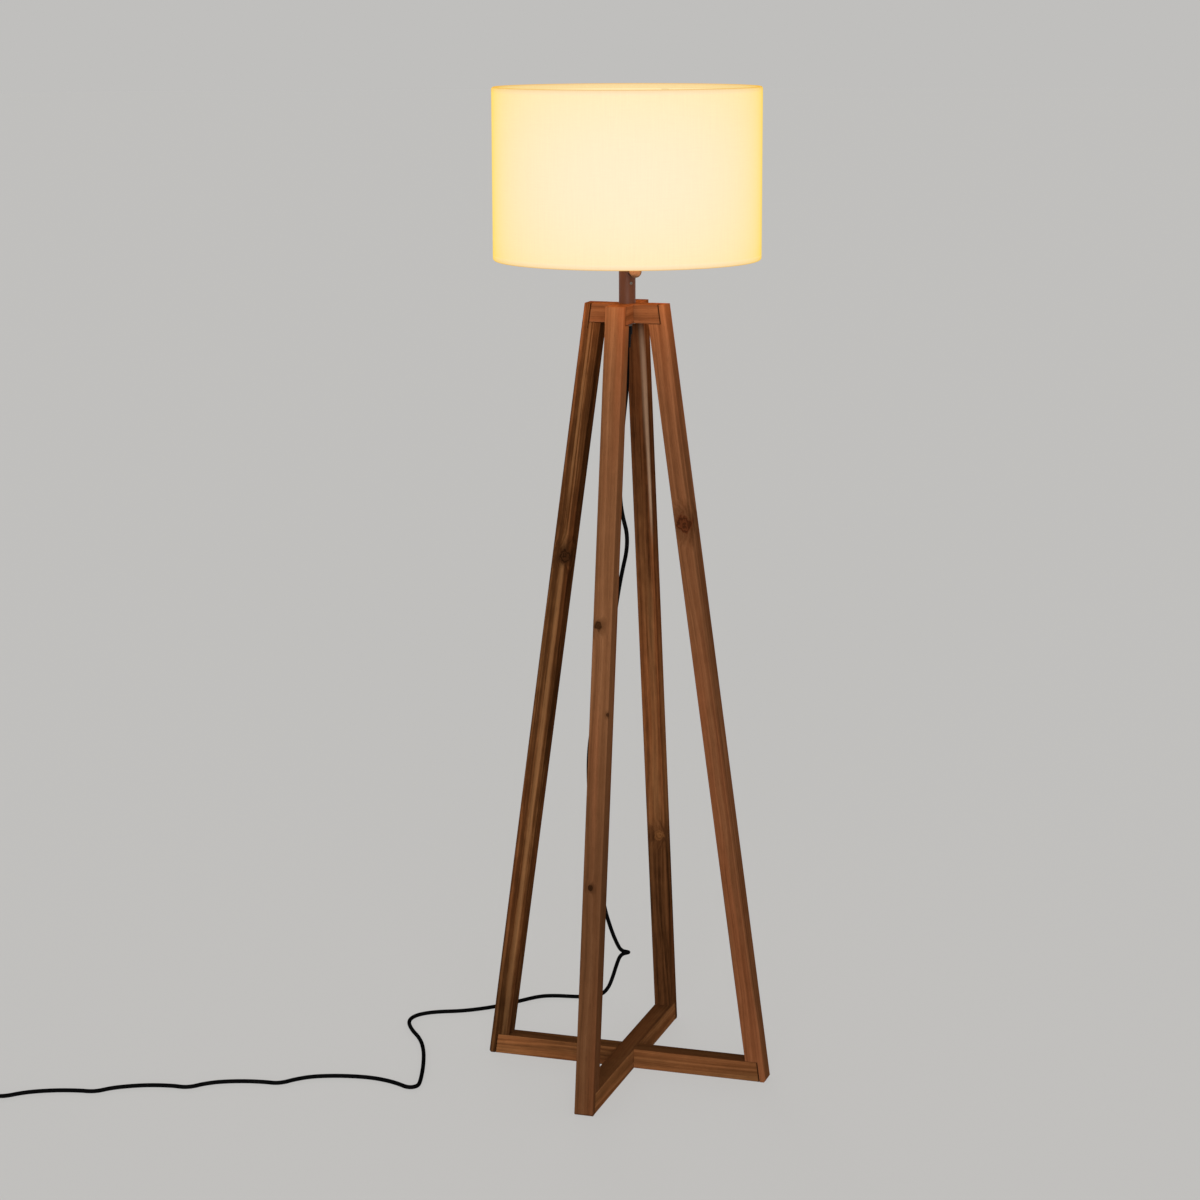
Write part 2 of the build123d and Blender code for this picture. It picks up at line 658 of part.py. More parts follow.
board_low = bulb_body_top - bulb_board_thickness
pieces["bulb_led_board"] = rod(bulb_board_diameter, board_low, bulb_body_top)
chip_circle = bulb_board_diameter / 2 - 5
pieces["bulb_led_chips"] = Compound([
    Rot(0, 0, 360 / chip_count * index) * Pos(chip_circle, 0, bulb_body_top + chip_height / 2)
    * Box(chip_size, chip_size, chip_height) for index in range(chip_count)])

# ---- shade
wrap = Circle(rim_wrap) - Circle(shade_wire / 2 + slip_gap)
wall_middle = shade_diameter / 2 - fabric_thickness / 2
return_middle = wire_radius - rim_wrap + fabric_thickness / 2


def rim(wire_z, up):
    """The fabric over one rim's wire and its turned-in edge, as a face of (radius, z)."""
    half_circle = Pos(0, up * rim_wrap) * Rectangle(4 * rim_wrap, 2 * rim_wrap)
    turned_in = Rectangle(fabric_thickness, hem_return)
    turned_in = Pos(return_middle - wire_radius, -up * hem_return / 2) * turned_in
    return Pos(wire_radius, wire_z) * ((wrap & half_circle) + turned_in)


wall = Rectangle(fabric_thickness, top_wire_z - bottom_wire_z)
wall = Pos(wall_middle, (bottom_wire_z + top_wire_z) / 2) * wall
skin_face = wall + rim(top_wire_z, 1) + rim(bottom_wire_z, -1)
pieces["shade_fabric"] = revolve(Plane.XZ * skin_face, Axis.Z)
pieces["shade_top_wire"] = Pos(0, 0, top_wire_z) * Torus(wire_radius, shade_wire / 2)
pieces["shade_bottom_wire"] = Pos(0, 0, bottom_wire_z) * Torus(wire_radius, shade_wire / 2)
hub_bore = holder_diameter + 2 * hub_play
pieces["shade_hub"] = tube(hub_outer_diameter, hub_bore, hub_low, hub_top)

arm_inner = hub_outer_diameter / 2
arm_outer = wire_radius
arm_route = [(arm_inner, 0, hub_low + hub_thickness / 2), (arm_inner + 18, 0, hub_low + hub_thickness / 2),
             (arm_outer - 24, 0, bottom_wire_z + 3), (arm_outer, 0, bottom_wire_z)]
arm, arm_length, arm_radii = round_tube(arm_route, arm_wire)
arm_room, room_length, room_radii = round_tube(arm_route, arm_wire + 2 * arm_play)
arm_turns = [Rot(0, 0, 360 / arm_count * index) for index in range(arm_count)]
rim_wire = pieces["shade_bottom_wire"]
pieces["shade_arms"] = Compound([turn * arm - rim_wire for turn in arm_turns])
for turn in arm_turns:
    pieces["shade_fabric"] -= turn * arm_room

# ---- wires inside the post
pieces["cord_inner_end"] = rod(cord_diameter, grip_low, wire_start)
beside = radians(control_angle + 90)
beside_x = cos(beside)
beside_y = sin(beside)
wire_half = core_wire_diameter / 2 + 0.15
terminal_low = core_low - 1


def wire(side, corners):
    """A thin wire in the plane beside the switch, with corners of (distance, z)."""
    points = [(side * distance * beside_x, side * distance * beside_y, z) for distance, z in corners]
    return points


def to_terminal(side):
    distance = side * terminal_spacing / 2
    return [(distance, 0, terminal_low - 5), (distance, 0, terminal_low + terminal_size / 2)]


above_switch = switch_z + switch_body_diameter / 2
below_switch = switch_z - switch_body_diameter / 2
stem_mouth = upper_stem_top + 1
neutral = wire(1, [(wire_half, wire_start), (wire_half, spigot_top - 2),
                   (wire_offset, switch_z - 2), (wire_offset, switch_z + 3),
                   (wire_half, above_switch + 8), (wire_half, stem_mouth)])
neutral_wire, neutral_length, neutral_radii = round_tube(neutral + to_terminal(1),
                                                         core_wire_diameter)
pieces["neutral_wire"] = neutral_wire

feed = wire(-1, [(wire_half, wire_start), (wire_half, below_switch - 12),
                 (wire_half + 2.5, below_switch - 5), (wire_half + 2.5, below_switch + 1)])
feed_wire, feed_length, feed_radii = round_tube(feed, core_wire_diameter)
pieces["feed_wire"] = feed_wire - pieces["switch_body"]

switched = wire(-1, [(wire_half + 2.5, above_switch - 1), (wire_half + 2.5, above_switch + 3),
                     (wire_half, above_switch + 9), (wire_half, stem_mouth)])
switched_wire, switched_length, switched_radii = round_tube(switched + to_terminal(-1),
                                                            core_wire_diameter)
pieces["switched_wire"] = switched_wire - pieces["switch_body"]

# ---- mains cord, coil, tie and plug
supply_cord, cord_length, cord_radii = round_tube(cord_route, cord_diameter)
pieces["supply_cord"] = supply_cord
cord_tail, tail_length, tail_radii = round_tube(tail_route, cord_diameter)
pieces["cord_tail"] = cord_tail
coil_place = Pos(coil_x, coil_y, 0)
coil = tube(2 * coil_outer_radius, 2 * coil_inner_radius, coil_low, coil_low + cord_diameter)
pieces["cord_coil"] = coil_place * fillet(coil.edges(), cord_diameter * 0.4)

tie_span = coil_outer_radius - coil_inner_radius + 2 * tie_play
tie_rise = cord_diameter + tie_play
tie_inside = RectangleRounded(tie_span, tie_rise, 1.5)
tie_outside = RectangleRounded(tie_span + 2 * tie_thickness, tie_rise + 2 * tie_thickness, 2.2)
tie_loop = extrude(Plane.XZ * (tie_outside - tie_inside), amount=tie_width / 2, both=True)
tie_z = tie_rise / 2 + tie_thickness
pieces["coil_tie"] = coil_place * Rot(0, 0, tie_angle) * Pos(coil_turn_radius, 0, tie_z) * tie_loop

relief_face = [(cord_radius + thread_gap, 0), (cord_radius + 1.0, 0), (relief_diameter / 2, relief_length),
               (cord_radius + thread_gap, relief_length)]
relief = turned(*relief_face)
tail_end_frame = Plane(origin=(tail_x, tail_end, plug_thickness / 2), z_dir=(0, -1, 0)).location
pieces["plug_relief"] = tail_end_frame * relief
pieces["cord_plug_end"] = tail_end_frame * rod(cord_diameter, 0, relief_length)

plug_half = plug_width / 2
back_half = plug_back_width / 2
plug_outline = Polyline((-back_half, 0), (back_half, 0), (plug_half, plug_length * 0.55),
                        (plug_half, plug_length), (-plug_half, plug_length),
                        (-plug_half, plug_length * 0.55), close=True)
plug = extrude(make_face(plug_outline), amount=plug_thickness / 2, both=True)
plug = chamfer(plug.edges().filter_by(GeomType.LINE).filter_by(Plane.XY), plug_edge)
plug_frame = Pos(tail_x, plug_back, plug_thickness / 2) * Rot(0, 0, 180)
plug = plug_frame * plug
pins = []
sleeves = []
for side in (1, -1):
    pin_place = Plane(origin=(tail_x + side * pin_spacing / 2, plug_front, plug_thickness / 2),
                      z_dir=(0, -1, 0)).location
    pin_core = rod(pin_sleeve_diameter - 0.8, -pin_root, pin_sleeve_length)
    pin_tip = rod(pin_diameter, pin_sleeve_length, pin_length)
    pin_tip = fillet(pin_tip.edges().sort_by(Axis.Z)[-1], pin_diameter * 0.3)
    pins.append(pin_place * (pin_core + pin_tip))
    sleeves.append(pin_place * tube(pin_sleeve_diameter, pin_sleeve_diameter - 0.8, 0, pin_sleeve_length))
    plug -= pin_place * rod(pin_sleeve_diameter - 0.8, -pin_root, 1)
pieces["plug_body"] = plug
pieces["plug_pins"] = Compound(pins)
pieces["plug_pin_sleeves"] = Compound(sleeves)

for name, solid in pieces.items():
    export_step(solid, f"parts/{name}.step")

section_area = pi * cord_diameter ** 2 / 4
print("nodes", len(pieces))
print("cord length", round(cord_length), "tail", round(tail_length))
print("tube volume over section times length", round(supply_cord.volume / (section_area * cord_length), 5))
print("cord radii", [round(radius) for radius in cord_radii])
print("tail radii", [round(radius) for radius in tail_radii])
print("wire radii", [round(radius, 1) for radius in neutral_radii + feed_radii + switched_radii])
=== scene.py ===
import math

import bmesh
import bpy
from bpy.props import FloatProperty, FloatVectorProperty, IntProperty
from mathutils import Matrix, Vector


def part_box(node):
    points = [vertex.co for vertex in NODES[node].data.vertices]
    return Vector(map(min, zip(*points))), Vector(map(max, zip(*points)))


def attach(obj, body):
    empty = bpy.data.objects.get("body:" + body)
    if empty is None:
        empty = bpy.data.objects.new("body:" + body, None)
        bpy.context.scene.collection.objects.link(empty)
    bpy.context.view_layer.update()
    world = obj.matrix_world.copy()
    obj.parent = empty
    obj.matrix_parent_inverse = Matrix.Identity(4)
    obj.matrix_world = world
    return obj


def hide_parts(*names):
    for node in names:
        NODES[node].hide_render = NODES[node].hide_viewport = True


bl_info = {
    "name": "Four-legged floor lamp",
    "version": (1, 0, 0),
    "blender": (4, 5, 0),
    "location": "3D View > Sidebar > Floor lamp",
    "description": "Finishes a packed floor lamp: wood, fabric shade, fittings, cord and stage",
    "category": "Object",
}

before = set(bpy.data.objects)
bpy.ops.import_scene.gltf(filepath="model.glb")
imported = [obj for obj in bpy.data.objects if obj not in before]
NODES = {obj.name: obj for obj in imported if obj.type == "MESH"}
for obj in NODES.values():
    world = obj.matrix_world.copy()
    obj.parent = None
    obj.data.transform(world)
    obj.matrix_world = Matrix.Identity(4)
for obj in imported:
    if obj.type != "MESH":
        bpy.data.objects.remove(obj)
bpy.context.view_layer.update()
MM = 0.001

# Joiner's facts about the frame: how far a leg leans, and where its middle line meets the floor.
FRAME_HEIGHT = 1.202
FOOT_OUTER = 0.228
TOP_OUTER = 0.0625
LEG_WIDTH = 0.029
BOTTOM_BAR_MIDDLE = 0.0155
TOP_BAR_MIDDLE = 1.18775
LEG_LEAN = math.atan((FOOT_OUTER - TOP_OUTER) / FRAME_HEIGHT)
FOOT_MIDDLE = FOOT_OUTER - LEG_WIDTH / 2 / math.cos(LEG_LEAN)

# Growth rings, per metre across the grain: broad bands, and the fine lines in them.
RING_BANDS = 130.0
RING_LINES = 620.0

# The knob's axis: its height, and its angle from +X around the post.
KNOB_HEIGHT = 1.251
KNOB_TURN = math.pi / 4

# The mains cord: its exit under the grip, in metres, how it hangs (x and y in millimetres, and
# the share of the exit's height) and how it lies (x and y in millimetres).
CORD_EXIT = (0.0, 0.0, 1.1355)
HANGING_ROUTE = [
    (0, 0, 1.0), (0, 0, 0.979), (-2, 5, 0.944), (-9, 9, 0.903), (-15, 15, 0.86),
    (-19, 21, 0.81), (-19, 29, 0.775), (-9, 38, 0.734), (-28, 50, 0.675), (-46, 64, 0.595),
    (-68, 77, 0.516),
    (-90, 90, 0.449), (-100, 107, 0.3875), (-102, 132, 0.308), (-100, 158, 0.2325),
    (-97, 182, 0.169), (-91, 203, 0.1286), (-86, 216, 0.1066), (-82, 226, 0.0934),
    (-73, 235, 0.0898), (-76, 250, 0.0845), (-91, 251, 0.0801), (-99, 253, 0.0617),
    (-108, 259, 0.0388), (-118, 267, 0.0203), (-131, 272, 0.0079),
]
FLOOR_ROUTE = [
    (-150, 271), (-178, 264), (-207, 260), (-232, 250), (-253, 223), (-283, 181), (-329, 143),
    (-374, 125), (-398, 103), (-402, 73), (-382, 36), (-352, 0), (-327, -48), (-304, -109),
    (-290, -153), (-284, -174), (-280, -191), (-283, -200), (-290, -204.5), (-298.5, -203),
    (-311, -196), (-333, -188), (-360, -184), (-387, -186), (-422, -194), (-454, -208),
    (-474, -228), (-483, -242), (-495, -250), (-511, -250), (-545, -256), (-582, -271),
    (-602, -288), (-611, -301), (-624, -308), (-642, -307), (-681, -316), (-715, -334),
    (-732, -348), (-741, -360), (-753, -367), (-770, -368), (-806, -378), (-838, -394),
    (-855, -408), (-865, -420), (-878, -427), (-898, -429),
]
# The coil and the plug, in millimetres; the coil's steps are in degrees.
COIL_ENTRY = (-920.0, -427.5)
COIL_MIDDLE = (-930.0, -465.7)
COIL_TURNS = 2
COIL_STEP = 22.5
COIL_START = 90.0
OUTER_TURN = 38.2
COIL_PITCH = 6.4
TIE_Z = 4.15
OVER_COIL = 10.9
PLUG_X = -965.4
PLUG_Z = 6.85

# The seam of the shade: half its width and its place, as angles around the shade.
SEAM_HALF = 0.03
SEAM_PLACE = math.pi / 2

# The camera's lens in millimetres and place in metres; its heading, tilt and roll in degrees.
LENS = 85.27
CAMERA_PLACE = (1.26190, -4.06074, 1.62559)
CAMERA_HEADING = 17.83
CAMERA_TILT = 11.653
CAMERA_ROLL = -0.18

# How high the two soft lights stand and how broad they are, in degrees.
KEY_ELEVATION = 9
BACK_ELEVATION = 12
LIGHT_SPREAD = 40


class LampSizes(bpy.types.PropertyGroup):
    cord_diameter: FloatProperty(name="Cord diameter", description="Outside of the mains cord",
                                 default=0.0064, subtype="DISTANCE")
    cord_length: FloatProperty(name="Cord length", description="From the grip to the plug",
                               default=3.18, subtype="DISTANCE")
    shade_radius: FloatProperty(name="Shade radius", description="Outside of the fabric",
                                default=0.2, subtype="DISTANCE")
    shade_low: FloatProperty(name="Shade's lower edge", description="Height above the floor",
                             default=1.267, subtype="DISTANCE")
    shade_high: FloatProperty(name="Shade's upper edge", description="Height above the floor",
                              default=1.521, subtype="DISTANCE")
    rim_wire: FloatProperty(name="Rim wire", description="Diameter of the wires in the hems",
                            default=0.005, subtype="DISTANCE")
    fabric: FloatProperty(name="Fabric", description="Thickness of the lined fabric",
                          default=0.0008, subtype="DISTANCE")
    hem_band: FloatProperty(name="Hem band", description="Height of the taped band at each rim",
                            default=0.0085, subtype="DISTANCE")
    warp_threads: IntProperty(name="Warp threads", description="Upright threads around the shade",
                              default=1500)
    spring_turns: IntProperty(name="Spring turns", description="Turns of the contact spring",
                              default=4)


class LampColours(bpy.types.PropertyGroup):
    wood_dark: FloatVectorProperty(name="Dark wood", description="Latewood and pores",
                                   default=(0.060, 0.023, 0.0080), subtype="COLOR")
    wood_mid: FloatVectorProperty(name="Wood", description="Oiled heartwood",
                                  default=(0.196, 0.082, 0.0340), subtype="COLOR")
    wood_light: FloatVectorProperty(name="Light wood", description="Earlywood bands",
                                    default=(0.33, 0.152, 0.068), subtype="COLOR")
    sapwood: FloatVectorProperty(name="Sapwood", description="Pale streak beside the heartwood",
                                 default=(0.62, 0.39, 0.245), subtype="COLOR")
    turned_wood: FloatVectorProperty(name="Knob wood", description="Pale wood of the knob",
                                     default=(0.27, 0.18, 0.115), subtype="COLOR")
    shade: FloatVectorProperty(name="Shade fabric", description="Cream fabric, unlit",
                               default=(0.12, 0.113, 0.098), subtype="COLOR")
    glow: FloatVectorProperty(name="Shade glow", description="Light that comes through the fabric",
                              default=(0.95, 0.805, 0.69), subtype="COLOR")
    post: FloatVectorProperty(name="Post paint", description="Satin brown bronze paint",
                              default=(0.079, 0.034, 0.0205), subtype="COLOR")
    cord: FloatVectorProperty(name="Cord sheath", description="Black cord and plug",
                              default=(0.004, 0.004, 0.0042), subtype="COLOR")
    backdrop: FloatVectorProperty(name="Backdrop", description="Pale floor and background",
                                  default=(0.527, 0.521, 0.509), subtype="COLOR")


class LampLight(bpy.types.PropertyGroup):
    key: FloatProperty(name="Key light", description="Soft light from the front", default=2.25)
    back: FloatProperty(name="Back fill", description="Soft light from behind", default=0.8)
    surround: FloatProperty(name="Surround", description="Even light from all sides", default=0.6)
    overhead: FloatProperty(name="Overhead", description="The same, straight above", default=0.15)
    mouth: FloatProperty(name="Glow below the shade", description="Warm light on the frame's top",
                         default=0.7, unit="POWER")
    shadow_share: FloatProperty(name="Shadow share", description="How much of a shadow shows",
                                default=0.15, subtype="FACTOR")


# ---- node materials
class NodeBoard:
    """Adds nodes to one material and joins them as they come."""

    def __init__(self, name):
        self.material = bpy.data.materials.new(name)
        self.material.use_nodes = True
        self.tree = self.material.node_tree
        self.shader = self.tree.nodes["Principled BSDF"]

    def feed(self, socket, value):
        if isinstance(value, bpy.types.NodeSocket):
            self.tree.links.new(value, socket)
        else:
            socket.default_value = value

    def add(self, kind, sockets, **settings):
        node = self.tree.nodes.new("ShaderNode" + kind)
        for name, value in settings.items():
            setattr(node, name, value)
        for name, value in sockets.items():
            self.feed(node.inputs[name], value)
        return node

    def place(self):
        return self.add("TexCoord", {}).outputs["Object"]

    def normal(self):
        return self.add("TexCoord", {}).outputs["Normal"]

    def math(self, operation, first, second=0.0, third=0.0, clamp=False):
        node = self.add("Math", {0: first, 1: second, 2: third}, operation=operation,
                        use_clamp=clamp)
        return node.outputs[0]

    def product(self, first, *others):
        for other in others:
            first = self.math("MULTIPLY", first, other)
        return first

    def stretched(self, vector, scale):
        node = self.add("VectorMath", {0: vector, 1: scale}, operation="MULTIPLY")
        return node.outputs["Vector"]

    def shifted(self, vector, offset):
        return self.add("VectorMath", {0: vector, 1: offset}, operation="ADD").outputs["Vector"]

    def axes(self, vector):
        return self.add("SeparateXYZ", {"Vector": vector}).outputs

    def length(self, vector):
        return self.add("VectorMath", {0: vector}, operation="LENGTH").outputs["Value"]

    def noise(self, vector, scale=1.0, detail=3.0, roughness=0.5):
        node = self.add("TexNoise", {"Vector": vector, "Scale": scale, "Detail": detail,
                                     "Roughness": roughness})
        return node.outputs["Fac"]

    def line_noise(self, value, detail=2.0, roughness=0.5):
        node = self.add("TexNoise", {"W": value, "Scale": 1.0, "Detail": detail,
                                     "Roughness": roughness}, noise_dimensions="1D")
        return node.outputs["Fac"]

    def ranged(self, value, low, high, to_low=0.0, to_high=1.0, smooth=False):
        node = self.add("MapRange", {"Value": value, "From Min": low, "From Max": high,
                                     "To Min": to_low, "To Max": to_high},
                        interpolation_type="SMOOTHSTEP" if smooth else "LINEAR")
        return node.outputs["Result"]

    def blended(self, share, first, second, kind="MIX"):
        node = self.tree.nodes.new("ShaderNodeMix")
        node.data_type = "RGBA"
        node.blend_type = kind
        self.feed(node.inputs["Factor"], share)
        for index, value in ((6, first), (7, second)):
            self.feed(node.inputs[index], value)
        return node.outputs[2]

    def ramp(self, value, stops):
        node = self.add("ValToRGB", {"Fac": value})
        elements = node.color_ramp.elements
        while len(elements) < len(stops):
            elements.new(1.0)
        for element, (position, colour) in zip(elements, stops):
            element.position = position
            element.color = colour
        return node.outputs["Color"]

    def scaled(self, colour, share):
        node = self.add("VectorMath", {0: colour, "Scale": share}, operation="SCALE")
        return node.outputs["Vector"]

    def bump(self, height, depth, before=None):
        sockets = {"Height": height, "Strength": 1.0, "Distance": depth}
        if before is not None:
            sockets["Normal"] = before
        return self.add("Bump", sockets).outputs["Normal"]

    def finish(self, **sockets):
        for name, value in sockets.items():
            self.feed(self.shader.inputs[name.replace("_", " ")], value)
        return self.material


def toned(colour, share):
    return [component * share for component in colour]


def opaque(colour, share=1.0):
    return (*toned(colour, share), 1.0)


def dress(material, *names):
    """Gives carried CAD nodes a finish."""
    for name in names:
        NODES[name].material_slots[0].material = material


def stand(scene, name, data):
    """Adds an object to the scene."""
    item = bpy.data.objects.new(name, data)
    scene.collection.objects.link(item)
    return item


def finished(shape, name):
    """Turns a bmesh into a mesh and frees it."""
    mesh = bpy.data.meshes.new(name)
    shape.to_mesh(mesh)
    shape.free()
    return mesh


# ---- wood
def grain_rotation(along, lean):
    """Turns a piece so that its grain runs along +Z."""
    if along == "x":
        return Matrix.Rotation(-math.pi / 2, 3, "Y"), (0.0, -math.pi / 2, 0.0)
    if along == "y":
        return Matrix.Rotation(math.pi / 2, 3, "X"), (math.pi / 2, 0.0, 0.0)
    axis, angle = lean
    turn = (angle, 0.0, 0.0) if axis == "X" else (0.0, angle, 0.0)
    return Matrix.Rotation(angle, 3, axis), turn


def wood(name, turn, matrix, middle, heart, seed, tones, knots=(), streaks=(), warmth=0.0,
         figure=1.0, foot=(0.0, 0.1, 1.0), top=(1.1, 1.2, 1.0), joint=None):
    """Oiled hardwood, solid through: growth rings around a heart, fibres, pores and knots.

    turn, matrix: the same rotation for the nodes and for this script; middle: a point of the
    piece's middle line; heart: the rings' centre across the grain, in metres from that line;
    figure: contrast of the grain; foot, top: the heights over which the colour changes towards
    that end, and how light it is there, partly painted light and shade and partly the wood's
    own tone; joint: a bar's half length, how much that shortens upwards and its underside, for
    the painted shade in the line where the bar meets a leg, and painted shade on the bar's
    upward faces; knots: a point, the size, how far the rings part around it, the heart's colour
    and how dark its rim is; streaks: the colour, the strength, half the width, and the height
    and sideways place of either end.
    """
    board = NodeBoard(name)
    dark, mid, light = tones
    centre = matrix @ Vector(middle)
    place = board.add("Mapping", {"Vector": board.place(), "Rotation": turn,
                                  "Location": (-centre.x, -centre.y, 0.0)},
                      vector_type="POINT").outputs["Vector"]
    here = board.shifted(place, (seed * 0.37, seed * 0.11, seed * 1.7))

    def pattern(across, along, detail=2.0, roughness=0.5):
        """Noise that repeats so many times a metre across and along the grain."""
        return board.noise(board.stretched(here, (across, across, along)), detail=detail,
                           roughness=roughness)

    def off_middle(value):
        return board.math("SUBTRACT", value, 0.5)

    wander = pattern(9.0, 2.2)
    ripple = pattern(60.0, 9.0)
    ragged = pattern(115.0, 90.0, detail=3.0)
    from_heart = board.shifted(place, (-heart[0], -heart[1], 0.0))
    ring = board.length(board.stretched(from_heart, (1.0, 1.0, 0.0)))
    ring = board.math("MULTIPLY_ADD", wander, 0.030, ring)
    ring = board.math("MULTIPLY_ADD", ripple, 0.0035, ring)
    knot_rings = []
    for where, size, swell, heart_colour, burnt in knots:
        spot = matrix @ Vector(where) - Vector((centre.x, centre.y, 0.0))
        away = board.stretched(board.shifted(place, tuple(-spot)), (1.0, 1.0, 0.9))
        away = board.math("MULTIPLY_ADD", off_middle(ragged), size * 2.4, board.length(away))
        lifted = board.ranged(away, 0.0, size * 3.6, swell, 0.0, smooth=True)
        ring = board.math("ADD", ring, lifted)
        knot_rings.append((away, size, heart_colour, burnt))
    bands = board.line_noise(board.math("MULTIPLY_ADD", ring, RING_BANDS, seed))
    lines = board.line_noise(board.math("MULTIPLY_ADD", ring, RING_LINES, seed), detail=3.0,
                             roughness=0.65)
    fibre = pattern(900.0, 16.0, detail=4.0, roughness=0.62)
    streak = pattern(240.0, 3.4, detail=3.0, roughness=0.6)
    slow = pattern(5.0, 3.1)
    mottle = pattern(70.0, 32.0, detail=3.0, roughness=0.6)
    pores = board.ranged(pattern(3000.0, 110.0, detail=1.0), 0.62, 0.72, smooth=True)
    tone = 0.0
    for layer, weight in ((bands, 0.95), (lines, 0.42), (fibre, 0.55), (streak, 0.70),
                          (slow, 0.4), (mottle, 0.46)):
        tone = board.math("MULTIPLY_ADD", off_middle(layer), weight, tone)
    tone = board.math("MULTIPLY_ADD", tone, 1.25 * figure, 0.5, clamp=True)
    colour = board.ramp(tone, [(0.0, opaque(dark)), (0.5, opaque(mid)), (1.0, opaque(light))])
    red = board.ranged(pattern(38.0, 2.6), 0.42, 0.68, smooth=True)
    reddened = board.blended(1.0, colour, (1.10, 0.90, 0.84, 1.0), "MULTIPLY")
    colour = board.blended(board.math("MULTIPLY_ADD", red, 0.7, warmth, clamp=True),
                           colour, reddened)
    axes = board.axes(place)
    for streak_colour, strength, half, (low, x_low), (high, x_high) in streaks:
        line = board.ranged(axes["Z"], low, high, x_low, x_high)
        line = board.math("MULTIPLY_ADD", wander, 0.006, line)
        off = board.math("ABSOLUTE", board.math("SUBTRACT", axes["X"], line))
        side = board.ranged(off, half * 0.35, half * 1.5, strength, 0.0, smooth=True)
        below = board.ranged(axes["Z"], low - 0.06, low + 0.03, smooth=True)
        above = board.ranged(axes["Z"], high + 0.06, high - 0.03, smooth=True)
        depth = board.ranged(axes["Y"], -0.012, -0.008, 1.0, 0.0)
        broken = board.ranged(streak, 0.3, 0.6, 0.5, 1.0)
        colour = board.blended(board.product(side, below, above, depth, broken), colour,
                               opaque(streak_colour))
    for away, size, heart_colour, burnt in knot_rings:
        halo = board.ranged(away, size * 0.8, size * 3.4, 0.8 * burnt, 0.0, smooth=True)
        halo = board.product(halo, board.ranged(lines, 0.25, 0.6, 0.35, 1.0))
        colour = board.blended(halo, colour, opaque(dark, 0.7))
        core = board.ranged(away, size * 0.8, size * 1.3, 1.0, 0.0, smooth=True)
        colour = board.blended(board.product(core, 0.9), colour, opaque(heart_colour))
        rings = board.math("SINE", board.product(away, 11.0 / size))
        rings = board.product(board.ranged(rings, -0.6, 1.0, 0.0, 0.85 * burnt), core)
        colour = board.blended(rings, colour, opaque(dark, 0.35))
    colour = board.blended(board.product(pores, 0.28), colour, opaque(dark, 0.7))
    # painted light and shade along the piece, partly the wood's own tone: the colour is scaled
    # towards either end
    tone_and_painted_light_low = board.ranged(axes["Z"], foot[0], foot[1], foot[2], 1.0)
    tone_and_painted_light_high = board.ranged(axes["Z"], top[0], top[1], 1.0, top[2])
    colour = board.scaled(colour, board.product(tone_and_painted_light_low, tone_and_painted_light_high))
    if joint is not None:
        reach, taper, underside = joint
        rise = board.math("SUBTRACT", board.axes(board.place())["Z"], underside)
        left_over = board.math("MULTIPLY_ADD", rise, -taper, reach)
        left_over = board.math("SUBTRACT", left_over, board.math("ABSOLUTE", axes["Z"]))
        # painted shade: a dark line in the joint where the bar meets a leg
        line = board.ranged(left_over, 0.0004, 0.0016, 0.85, 0.0, smooth=True)
        colour = board.blended(line, colour, opaque(dark, 0.25))
        # painted shade: the bar's upward faces darker, as little of the studio light falls on them
        upper = board.ranged(board.axes(board.normal())["Z"], 0.7, 0.95, 0.0, 0.55)
        colour = board.blended(upper, colour, opaque(dark, 0.7))
    facing = board.add("Mapping", {"Vector": board.normal(), "Rotation": turn},
                       vector_type="NORMAL").outputs["Vector"]
    facing = board.math("ABSOLUTE", board.axes(facing)["Z"])
    end_grain = board.ranged(facing, 0.75, 0.95, smooth=True)
    colour = board.blended(board.product(end_grain, 0.5), colour, opaque(dark, 0.8))
    rough = board.math("MULTIPLY_ADD", fibre, 0.2, 0.5)
    rough = board.math("MULTIPLY_ADD", end_grain, 0.15, rough)
    skin = board.bump(fibre, 0.00008)
    skin = board.bump(board.product(pores, -1.0), 0.0001, skin)
    skin = board.bump(lines, 0.00005, skin)
    return board.finish(Base_Color=colour, Roughness=rough, Normal=skin, Specular_IOR_Level=0.0)


def leg_facts(name):
    """A leg's rotation, the same for the nodes, and a point of its middle line on the floor."""
    facts = {
        "leg_right": (("Y", LEG_LEAN), (FOOT_MIDDLE, 0.0, 0.0)),
        "leg_left": (("Y", -LEG_LEAN), (-FOOT_MIDDLE, 0.0, 0.0)),
        "leg_back": (("X", -LEG_LEAN), (0.0, FOOT_MIDDLE, 0.0)),
        "leg_front": (("X", LEG_LEAN), (0.0, -FOOT_MIDDLE, 0.0)),
    }
    lean, middle = facts[name]
    matrix, turn = grain_rotation("z", lean)
    return matrix, turn, middle


